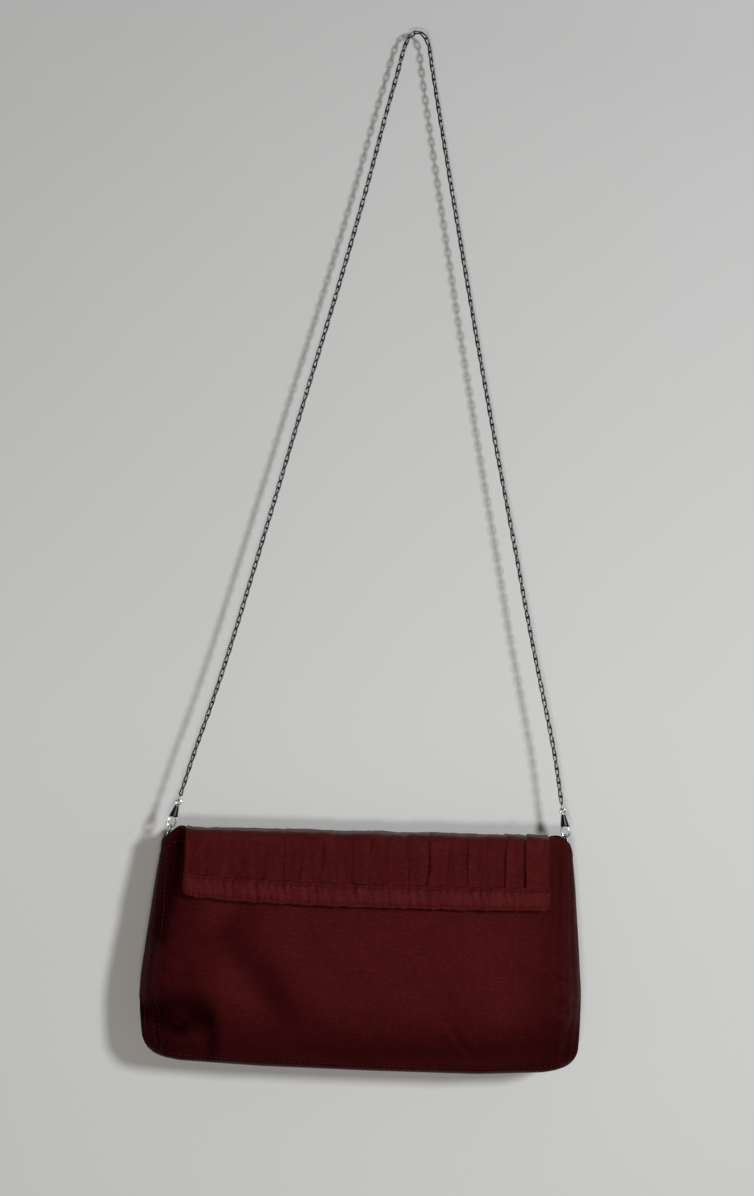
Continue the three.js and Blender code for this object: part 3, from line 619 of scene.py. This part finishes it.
# Points of one such row, below a rim's depth. extra() adds to how far the cloth stands out.
def shell_points(row, rim, room, extra):
    kind, place, inset, inwards = row
    wall_end = BODY_HEIGHT - BOTTOM_ROUND
    depth = rim + (wall_end - rim) * place if kind == "wall" else np.full(len(COLUMNS), place)
    x, y = body_xy(depth, inset, room)
    lift = cloth_lift(x, depth, FACING_Y) * np.clip(np.abs(FACING_Y) * 1.4, 0.25, 1)
    lift = lift + extra(x, depth, FACING_Y)
    if kind != "wall":
        lift = lift * (1 - smoothstep(wall_end, BODY_HEIGHT, depth) * 0.75)
    x = x + FACING_X * lift
    y = y + FACING_Y * lift
    if kind == "floor":
        depth = depth + 0.3 * unevenness(x, y, 40, 21) * smoothstep(0, 0.4, inwards)
        x = x * (1 - inwards) + np.clip(x, -FLOOR_HALF, FLOOR_HALF) * inwards
        y = y * (1 - inwards)
    share = smoothstep(70, BODY_HEIGHT, depth)
    depth = depth * (1 - share * (1 - bottom_depth(x) / BODY_HEIGHT))
    return np.stack([BAG_X + x, y, RIM_Z - depth], 1)


def no_extra(x, depth, facing_y):
    return np.zeros(len(x))


# Depth of the hem's stitches below the rim, and the facing at the middle of a corner
HEM_DEPTH = 7.2
CORNER_FACING = 0.707


def seam_groove(x, depth, facing_y):
    off_seam = np.abs(facing_y) - CORNER_FACING
    wave = 0.25 * np.sin(TAU * depth / 9.3) + 0.2 * np.sin(TAU * depth / 3.7 + 1)
    on_corner = (np.abs(facing_y) > 0.01) & (np.abs(facing_y) < 0.99)
    seam = (0.5 * bell(off_seam, 0.22) * (1 + wave) - bell(off_seam, 0.075)) * on_corner
    return seam + 0.28 * bell(depth - RIM - 2.6, 2.6) - 0.22 * bell(depth - RIM - HEM_DEPTH, 0.9)


def grid_faces(rows, columns, wrap):
    faces = []
    for i in range(rows - 1):
        for j in range(columns if wrap else columns - 1):
            k = (j + 1) % columns
            faces.append((i * columns + j, (i + 1) * columns + j, (i + 1) * columns + k, i * columns + k))
    return faces


# Length down each column of a grid, from its first row
def length_down(grid):
    step = np.linalg.norm(np.diff(grid, axis=0), axis=2)
    return np.concatenate([np.zeros((1, grid.shape[1])), np.cumsum(step, axis=0)])


# Length round the body at a middling depth, from where the cloth's threads start
CLOTH_START = 262.0
MID_DEPTH = 60.0
ring = np.stack(body_xy(MID_DEPTH, 0.0), 1)
ring_steps = np.linalg.norm(np.roll(ring, -1, 0) - ring, axis=1)
AROUND = np.concatenate([[0], np.cumsum(ring_steps)[:-1]]) - CLOTH_START


# Makes a closed shell from rows that go round the body, and joins points that meet in its floor.
def put_shell(name, grid, down, material, **looks):
    uv = np.stack([np.broadcast_to(AROUND, down.shape), -down], 2).reshape(-1, 2)
    made = put(name, grid.reshape(-1, 3), grid_faces(*down.shape, True), material, uv, **looks)
    work = bmesh.new()
    work.from_mesh(made.data)
    bmesh.ops.remove_doubles(work, verts=work.verts, dist=2e-6)
    bmesh.ops.recalc_face_normals(work, faces=work.faces)
    work.to_mesh(made.data)
    work.free()
    return made


# The body's cloth: rows up its inside, over its lip as (inset, depth below the rim), down its outside
CLOTH_THICKNESS = 1.4
WALL_ROWS = 86
ROUND_ROWS = 10
LIP = [(CLOTH_THICKNESS, 0.5), (1.25, 0.12), (0.7, -0.08), (0.15, 0.12), (0.0, 0.5)]

inner_rows = shell_rows(CLOTH_THICKNESS, 1, CLOTH_THICKNESS, wall_rows=14, round_rows=4, floor_rows=3)[::-1]
outer_rows = shell_rows(0.0, 1, 0.0, WALL_ROWS, ROUND_ROWS, floor_rows=8)
grid = [shell_points(row, RIM, 0.0, no_extra) for row in inner_rows]
for inset, down in LIP:
    extra = seam_groove if inset < 0.2 else no_extra
    grid.append(shell_points(("wall", 0.0, inset, 0.0), RIM + down, 0.0, extra))
first_outer = len(grid)
grid += [shell_points(row, RIM, 0.0, seam_groove) for row in outer_rows]
grid = np.array(grid)
body_grid = grid[first_outer:]
down = length_down(grid)
down -= down[first_outer]
at_corner = bell(np.abs(FACING_Y) - CORNER_FACING, 0.3) * (np.abs(FACING_X) > 0.01)
wear = np.clip(0.8 * bell(down, 2.2) + 0.55 * at_corner + 0.4 * bell(down - 138, 9), 0, 1)
# dark is painted shade on the body's front, deepening its colour at the sides, along the bottom and in the
# dent
dark = painted_body_shade(grid[..., 0] - BAG_X, RIM_Z - grid[..., 2]) * (FACING_Y < -0.1)
body = put_shell("body_cloth", grid, down, CLOTH, wear=wear.ravel(), dark=dark.ravel())
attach(body, "bag")
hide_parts("front_panel", "back_panel", "left_gusset", "right_gusset", "base_panel")


# Lining: a looser cup inside, with soft folds
def lining_folds(x, depth, facing_y):
    side = np.where(facing_y < 0, 1, -1)
    live = smoothstep(4, 40, depth) * (1 - near_point(x, depth, 0, 24, 26, 24))
    folds = 0.55 * unevenness(x, depth * 0.25, 15, 31) + 0.5 * unevenness(x + 40 * side, depth, 38, 33)
    return -live * np.abs(folds) * 1.1 - 0.15


# Insets of the lining's two faces, how much further its floor is in, and its room at the two ends
LINING_OUTER, LINING_INNER = 2.5, 3.1
LINING_RISE = 1.2
END_ROOM = 2.7

lining_rim = RIM * 0.9 + 1.0
rise = LINING_OUTER + LINING_RISE
rows = shell_rows(LINING_OUTER, 0, rise, wall_rows=30, round_rows=5, floor_rows=4)[::-1]
grid = [shell_points(row, lining_rim, END_ROOM, lining_folds) for row in rows]
lip = ("wall", 0.0, (LINING_OUTER + LINING_INNER) / 2, 0.0)
grid.append(shell_points(lip, lining_rim - 0.25, END_ROOM, lining_folds))
rise = LINING_INNER + LINING_RISE
rows = shell_rows(LINING_INNER, 0, rise, wall_rows=64, round_rows=7, floor_rows=6)
grid += [shell_points(row, lining_rim, END_ROOM, lining_folds) for row in rows]
grid = np.array(grid)
lining = put_shell("lining_cup", grid, length_down(grid), SATIN)
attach(lining, "bag")
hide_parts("lining")


# Makes a thin closed sheet between two grids. Only its outer face is worn.
def put_sheet(name, outer, inner, material, uv=None, wear=None, smooth=True):
    rows, columns = outer.shape[:2]
    count = rows * columns
    front = grid_faces(rows, columns, False)
    back = [tuple(i + count for i in reversed(face)) for face in front]
    loop = list(range(columns))
    loop += [i * columns + columns - 1 for i in range(1, rows)]
    loop += [(rows - 1) * columns + j for j in range(columns - 2, -1, -1)]
    loop += [i * columns for i in range(rows - 2, 0, -1)]
    rim = [(a, b, b + count, a + count) for a, b in zip(loop, loop[1:] + loop[:1])]
    points = np.concatenate([outer.reshape(-1, 3), inner.reshape(-1, 3)])
    if uv is not None:
        uv = np.concatenate([uv.reshape(-1, 2)] * 2)
    if wear is not None:
        wear = np.concatenate([wear.ravel(), np.zeros(count)])
    return put(name, points, front + back + rim, material, uv, wear, smooth)


def grid_normals(grid):
    return unit(np.cross(np.gradient(grid, axis=0), np.gradient(grid, axis=1)))


# The normals of a flap layer, turned so that those near its last row face the front.
def facing_front(grid):
    normals = grid_normals(grid)
    middle = normals[-5, normals.shape[1] // 2]
    return -normals if middle[1] > 0 else normals


# Base board under the lining
BOARD_HALF, BOARD_HALF_DEPTH = 119.0, 10.0
BOARD_LOW, BOARD_HIGH = 1.9, 3.3


def board_grid(height):
    u = np.linspace(-1, 1, 60)[None]
    v = np.linspace(-1, 1, 8)[:, None]
    x = BOARD_HALF * u * np.ones_like(v)
    y = v * BOARD_HALF_DEPTH * np.sqrt(np.maximum(1 - np.abs(u) ** 24, 0.05))
    return np.stack([BAG_X + x, y, RIM_Z - bottom_depth(x) + height], 2)


board = put_sheet("base_card", board_grid(BOARD_LOW), board_grid(BOARD_HIGH), CARD, smooth=False)
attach(board, "bag")
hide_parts("base_board")

# Flap: its layers follow one line from the back panel over the mouth and down the front
FLAP_HALF = 112.0
FLAP_CORNER = 4.0
# Height above the rim, on the front, from which a layer's rows follow the shares of its drop
FLAP_BEND = -3.0
# Depths down the back panel at which the flap's cloth and its lining start
FLAP_BACK, LINING_BACK = 11.0, 9.5
# Offsets of the layers' two faces from the line
FACE = (3.0, 2.35)
FLAP_SATIN = (0.75, 0.05)
FLAP_BOARD = (2.0, 1.1)
BAND_INNER = 3.35
# How far the flap hangs below the rim at places across it
DROP = ([-112, -104, -80, -20, 60, 112], [35.4, 36.6, 38.6, 40.3, 40.4, 39.8])
# Pleats as (x, height), and faint creases
PLEATS = [
    (-110.0, 0.05), (-98.2, 0.12), (-86.6, 0.05), (-74.4, 0.1), (-62.9, 0.05), (-50.8, 0.2),
    (-39.2, 0.08), (-27.1, 0.18), (-9.2, 0.2), (2.5, 0.3), (13.0, 0.2), (24.8, 0.35), (37.8, 0.85),
    (50.8, 0.4), (62.6, 0.5), (73.2, 0.4), (84.9, 1.35), (97.9, 1.75),
]  # fmt: skip
CREASES = [-15.0, -4.0, 8.5, 19.0, 31.0, 44.5, 57.0, 68.0, 79.0, 91.0, 104.0, -33.0, -56.5, -80.5, -104.0]


def flap_drop(x):
    return np.interp(x, *DROP)


# Points (y, height above the rim) of the flap's line at an offset h from its inner face. It starts
# down the back panel by back, or on top of the mouth where back is 0.
def flap_line(h, back):
    start = [(6.6, 0.4 + h)]
    if back > 0:
        start = [(half_depth(back) + 0.35 + h * 0.25, -back), (half_depth(4) + 0.4 + h * 0.25, -4.0)]
        start += [(8.5 + h * 0.3, -0.6), (7.6 + h * 0.35, 0.3 + h * 0.62), (5.0 + h * 0.1, 0.5 + h * 0.97)]
    top = [(0.0, 0.5 + h), (-6.5, 0.45 + h)]
    top += [(-9.6 - h * 0.55, 0.1 + h * 0.85), (-11.1 - h * 0.92, -1.2 + h * 0.35)]
    front = [(-(float(half_depth(d)) + 3.4 + h), -d) for d in (4, 7, 11, 16, 22, 28, 34, 40, 46)]
    return smooth_line([*start, *top, *front], 14)


# Columns across the flap, closer together at each pleat's fold
def flap_columns(inset):
    half = FLAP_HALF - inset
    folds = [x + step for x, _ in PLEATS for step in (-0.75, -0.3, 0.05, 0.45, 1.1)]
    columns = np.unique(np.round(np.concatenate([np.linspace(-half, half, 150), folds]), 3))
    columns = columns[np.abs(columns) <= half]
    keep = [columns[0]]
    for column in columns[1:]:
        if column - keep[-1] > 0.22:
            keep.append(column)
    keep[-1] = columns[-1]
    return np.array(keep)


# Points of a flap layer and their shares of the drop, which are negative before the front. short is
# how far it ends above the flap's edge. With start, it begins that far above the edge.
def flap_grid(h, back, columns, front_rows, short, top_rows=0, start=None):
    line = flap_line(h, back)
    run = length_along(line)
    bend = np.argmax(line[:, 1] < FLAP_BEND)
    if back > 0:
        bend = len(line) - 1 - np.argmax(line[::-1, 1] > FLAP_BEND)
    rows, shares = [], []
    for share in np.arange(top_rows) / max(top_rows, 1):
        rows.append(at_length(line, np.full(len(columns), run[bend] * share)))
        shares.append(np.full(len(columns), share - 1))
    drop = flap_drop(columns)
    past = np.maximum(np.abs(columns) - np.abs(columns).max() + FLAP_CORNER, 0)
    corner = FLAP_CORNER - np.sqrt(np.maximum(FLAP_CORNER**2 - past**2, 0))
    first = -FLAP_BEND if start is None else drop - start
    for share in np.arange(front_rows + 1) / front_rows:
        depth = first + (drop - short - corner - first) * share
        rows.append(at_length(line, np.interp(depth, -line[bend:, 1], run[bend:])))
        shares.append(depth / drop)
    yz = np.array(rows)
    x = np.broadcast_to(BAG_X + columns, yz.shape[:2])
    return np.stack([x, yz[..., 0], RIM_Z + yz[..., 1]], 2), np.array(shares)


# Knife pleats: the cloth rises just right of each fold line and runs down to the next one.
def pleat_lift(x, share):
    lift = np.zeros(np.broadcast(x, share).shape)
    ends = [edge for edge, _ in PLEATS[1:]] + [FLAP_HALF + 2]
    for k, ((edge, height), end) in enumerate(zip(PLEATS, ends)):
        here = x - edge - 0.8 * np.sin(2.6 * share + 1.7 * k) - 0.35 * np.sin(7 * share + k)
        width = end - edge
        fall = 1 - np.clip(here / width, 0, 1) ** 0.8
        raised = height * smoothstep(-0.35, 0.35, here) * fall * (here < width + 0.6)
        lift = np.maximum(lift, raised) - 0.3 * height * bell(here + 0.7, 0.7)
    for k, crease in enumerate(CREASES):
        lift = lift - 0.13 * bell(x - crease - 0.5 * np.sin(3 * share + k), 0.9)
    lift = lift + 0.11 * unevenness(x, share * 6, 3.0, 61, 22) + 0.2 * unevenness(x, share * 9, 8.5, 63)
    fade = 0.12 + 0.43 * smoothstep(-0.95, -0.45, share) + 0.45 * smoothstep(-0.5, -0.05, share)
    return lift * fade * (1 - 0.6 * smoothstep(0.62, 0.78, share))


columns = flap_columns(0.0)
face_grid, share = flap_grid(FACE[0], FLAP_BACK, columns, front_rows=44, short=0.0, top_rows=30)
face_inner, _ = flap_grid(FACE[1], FLAP_BACK, columns, front_rows=44, short=0.3, top_rows=30)
x = np.broadcast_to(columns, share.shape)
lift = pleat_lift(x, share) + 0.22 * unevenness(x, share * 40, 22, 41)
lift = lift + 0.1 * unevenness(x, share * 40, 6, 43)
edge_roll = 0.35 * bell(FLAP_HALF - np.abs(x), 2.2)
face_normals = facing_front(face_grid)
face_outer = face_grid + face_normals * (lift + edge_roll)[..., None]
uv = np.stack([x, -length_down(face_grid)], 2)
wear = np.clip(0.7 * bell(share + 0.12, 0.22) + 0.25 * np.clip(lift, 0, 1), 0, 1)
flap = put_sheet("flap_cloth", face_outer, face_inner, CLOTH, uv, wear)
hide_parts("flap_face")

# The flap's lining and board
columns = flap_columns(1.2)
outer, share = flap_grid(FLAP_SATIN[0], LINING_BACK, columns, front_rows=36, short=1.4, top_rows=26)
inner, _ = flap_grid(FLAP_SATIN[1], LINING_BACK, columns, front_rows=36, short=1.4, top_rows=26)
uv = np.stack([np.broadcast_to(columns, share.shape), -share * 40], 2)
flap_inside = put_sheet("flap_satin", outer, inner, SATIN, uv)
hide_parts("flap_lining")

columns = np.linspace(-FLAP_HALF + 3.2, FLAP_HALF - 3.2, 60)
outer, inner = (flap_grid(h, 0, columns, front_rows=14, short=3.4, start=33.0)[0] for h in FLAP_BOARD)
flap_card = put_sheet("flap_card", outer, inner, CARD, smooth=False)
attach(flap_card, "flap")
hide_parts("flap_board")

# The gathered band along the hem. t runs from its upper edge to its lower one.
BAND_HEIGHT = 13.2
columns = np.linspace(-FLAP_HALF - 0.3, FLAP_HALF + 0.3, 520)
band_grid, share = flap_grid(BAND_INNER, 0, columns, front_rows=22, short=-0.5, start=BAND_HEIGHT)
x = np.broadcast_to(columns, share.shape)
t = np.linspace(0, 1, len(share))[:, None] * np.ones((1, len(columns)))
arch = np.sin(np.pi * t)
gather = unevenness(x + 0.6 * np.sin(7 * t), 2.2 * t, 4.2, 51, 22)
fine = unevenness(x, 3.0 * t, 1.9, 53, 22)
slow = unevenness(x, 5.0 * t, 22, 55)
stitched = bell(t - 0.1, 0.05) + bell(t - 0.9, 0.05)
pull = bell(t - 0.16, 0.2) + 0.8 * bell(t - 0.88, 0.18)
bulge = 0.5 + 1.05 * arch**0.55 + 0.42 * gather * (0.35 + 0.65 * pull) * arch**0.4
bulge = bulge + 0.16 * fine * pull + 0.22 * slow
bulge = np.maximum(bulge - 0.5 * stitched, 0.25)
band_normals = facing_front(band_grid)
band_outer = band_grid + band_normals * bulge[..., None]
band_outer[0] -= band_normals[0] * 0.1
wobble = 0.32 * unevenness(columns, 0.0, 9, 57) + 0.18 * unevenness(columns, 0.0, 3.4, 59)
band_outer[:, :, 2] += wobble * (np.abs(t - 0.5) * 2) ** 2
uv = np.stack([x * 1.25, -t * BAND_HEIGHT + 60], 2)
wear = np.clip(bulge - 1.2, 0, 1)
band = put_sheet("hem_band", band_outer, band_grid - band_normals * 0.15, BAND, uv, wear)
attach(band, "flap")
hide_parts("flap_band")


# Stitches: short curved threads that dip into the cloth at both ends
STITCH_RISE, STITCH_SINK = 0.26, 0.12
STITCH_SIDES = 6


def stitches(places, radius=0.2, length=2.1):
    t = np.linspace(-1, 1, 6)[:, None]
    rise = STITCH_RISE * (1 - t**2) - STITCH_SINK
    thick = radius * np.sqrt(np.maximum(1 - 0.75 * t[:, 0] ** 2, 0.1))
    parts = []
    for middle, ahead, up in places:
        ahead = unit(ahead)
        side = unit(np.cross(ahead, unit(up)))
        up = np.cross(side, ahead)
        line = middle + t * ahead * length / 2 + rise * up
        side, up = (np.broadcast_to(axis, line.shape) for axis in (side, up))
        parts.append(tube(line, side, up, thick, thick, STITCH_SIDES, False))
    return joined(parts)


# Places along a line, as (middle, direction, normal)
def stitch_places(line, normals, pitch=3.0):
    run = length_along(line)
    count = max(int(run[-1] / pitch), 1)
    middle = (np.arange(count) + 0.5) * run[-1] / count
    ahead = at_length(line, np.minimum(middle + 0.6, run[-1])) - at_length(line, np.maximum(middle - 0.6, 0))
    up = np.stack([np.interp(middle, run, normals[:, k]) for k in range(3)], 1)
    return list(zip(at_length(line, middle), ahead, up))


def put_stitches(name, places, body, **sizes):
    points, faces = stitches(places, **sizes)
    made = put(name, points, faces, THREAD, points[:, [0, 2]] + points[:, [1, 1]] * 0.5)
    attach(made, body)


# Stitches of the body: both sides of the four corner seams, the hem and the bottom edge
body_normals = grid_normals(body_grid)
outward = np.stack([FACING_X, FACING_Y, np.zeros(len(COLUMNS))], 1)
if (body_normals[30] * outward).sum() < 0:
    body_normals = -body_normals
first_corner = FLAT_COLUMNS + CORNER_COLUMNS // 2
corners = [first_corner, first_corner + CORNER_COLUMNS + GUSSET_COLUMNS]
corners += [column + len(COLUMNS) // 2 for column in corners]
places = []
for column in corners:
    for step in (-3, 3):
        places += stitch_places(body_grid[5:90, column + step], body_normals[5:90, column + step])
hem_row = np.argmin(np.abs(RIM_Z - body_grid[:40, :, 2] - RIM - HEM_DEPTH), axis=0)
every = np.arange(len(COLUMNS))
places += stitch_places(body_grid[hem_row, every], body_normals[hem_row, every])
base_row = WALL_ROWS + ROUND_ROWS // 2 - 2
places += stitch_places(body_grid[base_row], body_normals[base_row], 3.2)
put_stitches("body_stitches", places, "bag")

# Stitches of the flap: along the band, down the flap's two sides, and beside the hinge
places = []
for row in (2, 20):
    places += stitch_places(band_outer[row], band_normals[row], 2.7)
for column in (3, -4):
    places += stitch_places(face_outer[34:66, column], face_normals[34:66, column], 2.8)
put_stitches("flap_stitches", places, "flap")

places = []
for row in (3, 8):
    places += stitch_places(face_outer[row], face_normals[row])
put_stitches("hinge_stitches", places, "bag")

# Tabs: a strip of cloth that goes round the ring's bar and down inside the gusset
TAB_LOOP_RADIUS = 1.32
TAB_LOOP_ENDS = (-68, 248)
TAB_BAR_BELOW_TOP = 1.65
TAB_HALF_THICKNESS = 0.33
TAB_HALF_WIDTH = 2.62
TAB_LEAF = [(0.36, 0, z) for z in (-8.0, -6.5, -5, -3.6, -2.4)]
TAB_SEAMS = (-1.9, 1.9)
TAB_SIDES = 20


def tab(side):
    low, high = (np.array(corner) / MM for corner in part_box(side + "_tab"))
    centre = np.array(((low[0] + high[0]) / 2, 0.0, high[2] - TAB_BAR_BELOW_TOP))
    turn = np.radians(np.linspace(*TAB_LOOP_ENDS, 26))[2:-2:2]
    loop = TAB_LOOP_RADIUS * np.stack([np.cos(turn), 0 * turn, np.sin(turn)], 1)
    down = np.array(TAB_LEAF)
    line = centre + smooth_line(np.concatenate([down, loop, down[::-1] * (-1, 1, 1)]), 4)
    ahead = unit(np.gradient(line, axis=0))
    across = np.broadcast_to(np.array((0, 1.0, 0)), line.shape)
    width = TAB_HALF_WIDTH + 0.05 * np.sin(np.arange(len(line)) * 0.9)
    out = np.cross(ahead, across)
    points, faces = tube(line, across, out, width, TAB_HALF_THICKNESS, TAB_SIDES, False, 0.45)
    run = length_along(line)
    uv = np.stack([points[:, 1], np.repeat(run, TAB_SIDES)], 1)
    wear = np.repeat(bell(run - run[-1] / 2, 3), TAB_SIDES)
    made = put(side + "_loop", points, faces, CLOTH, uv, wear)
    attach(made, "bag")
    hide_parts(side + "_tab")
    places = []
    for y in TAB_SEAMS:
        for face in (-1, 1):
            seam = np.array([(face * 0.72, y, z) for z in np.linspace(-7.6, -2.6, 12)]) + centre
            places += stitch_places(seam, np.tile((face, 0, 0), (12, 1)), 1.7)
    put_stitches(side + "_loop_stitches", places, "bag", radius=0.13, length=1.2)


tab("left")
tab("right")

# Cloth that crosses the hinge is attached to no body, and its transform is baked into its points.
for piece in (flap, flap_inside):
    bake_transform(piece)

# Materials on the CAD pieces that stay
for name, made in nodes.items():
    if made.hide_render:
        continue
    made.data.materials.clear()
    made.data.materials.append(HOOK if name.endswith("_hook") else NICKEL)


# Painted wall, seen from its front by the camera and in reflections. Other light goes through it,
# so that the lamp behind it reaches the back of the bag.
def wall_material():
    made, tree, shader = new_material("wall_paint")
    place = node(tree, "TexCoord").outputs["Object"]
    apart = node(tree, "SeparateXYZ")
    tree.links.new(place, apart.inputs["Vector"])
    cloudy = noise(tree, place, (5, 5, 5), 3.0, 0.5)
    grain = noise(tree, place, (260, 260, 260), 3.0, 0.6)
    # Painted shade: the wall's colour is darker towards the top and paler low down.
    colour = mix(tree, ramp(tree, apart.outputs["Z"], -0.42, 0.0), (0.75, 0.755, 0.75), (0.62, 0.615, 0.62))
    colour = mix(tree, ramp(tree, cloudy, 0.3, 0.7, 0.0, 0.25), colour, (0.70, 0.705, 0.72))
    tree.links.new(colour, shader.inputs["Base Color"])
    tree.links.new(bump(tree, grain, 0.0002, 0.3), shader.inputs["Normal"])
    set_inputs(shader, Roughness=0.9, Specular_IOR_Level=0.1)
    back = node(tree, "NewGeometry").outputs["Backfacing"]
    ray = node(tree, "LightPath").outputs
    seen = maths(tree, "MAXIMUM", ray["Is Camera Ray"], ray["Is Glossy Ray"])
    unseen = maths(tree, "MAXIMUM", back, maths(tree, "SUBTRACT", 1.0, seen))
    clear = node(tree, "BsdfTransparent").outputs[0]
    mix_out(tree, "OUTPUT_MATERIAL", unseen, shader.outputs[0], clear)
    return made


# Backdrop: the wall leans back a little under the nail.
WALL_TOP, WALL_BOTTOM, WALL_SIDE = 700, -1400, 1300
WALL_BEHIND_NAIL, WALL_BEHIND_BAG = 9.5, 25.5
WALL_FALL = 640.0


def wall_y(z):
    return WALL_BEHIND_NAIL + (WALL_BEHIND_BAG - WALL_BEHIND_NAIL) * (-z / WALL_FALL)


corners = [(-WALL_SIDE, WALL_BOTTOM), (WALL_SIDE, WALL_BOTTOM), (WALL_SIDE, WALL_TOP), (-WALL_SIDE, WALL_TOP)]
corners = [(x, wall_y(z), z) for x, z in corners]
wall = put("wall", corners, [(0, 1, 2, 3)], wall_material(), smooth=False)


# Light: a strong lamp at the right, a weak one low in front, one behind the wall for the back of the
# bag, and an even surround
def area(name, place, target, size, power, colour):
    data = bpy.data.lights.new(name, "AREA")
    data.shape = "DISK"
    data.size = size
    data.energy = power
    data.color = colour
    made = bpy.data.objects.new(name, data)
    made.location = place
    made.rotation_euler = (Vector(target) - Vector(place)).to_track_quat("-Z", "Y").to_euler()
    bpy.context.scene.collection.objects.link(made)
    return made


BODY_MIDDLE = (-0.02, 0, -0.5)
ABOVE_FLAP = (-0.02, 0, -0.42)
area("key_lamp", (1.22, -1.85, 0.02), ABOVE_FLAP, size=0.36, power=29, colour=(0.95, 0.98, 1.0))
area("front_lamp", (-0.06, -1.65, -0.80), BODY_MIDDLE, size=0.26, power=6.5, colour=(1.0, 0.98, 0.95))
back_lamp = area("back_lamp", (0.1, 2.1, -0.6), BODY_MIDDLE, size=0.9, power=24, colour=(1.0, 0.99, 0.97))
back_lamp.visible_glossy = False

# The surround's light is warm, and the camera sees plain grey where the wall ends.
world = bpy.data.worlds.new("surround")
bpy.context.scene.world = world
world.use_nodes = True
tree = world.node_tree
lit = next(n for n in tree.nodes if n.type == "BACKGROUND")
set_inputs(lit, Color=(1.0, 0.90, 0.76, 1), Strength=0.125)
seen = node(tree, "Background", Color=(0.50, 0.50, 0.505, 1), Strength=1.0)
to_camera = node(tree, "LightPath").outputs["Is Camera Ray"]
mix_out(tree, "OUTPUT_WORLD", to_camera, lit.outputs[0], seen.outputs[0])

bpy.context.scene.view_settings.view_transform = "Standard"
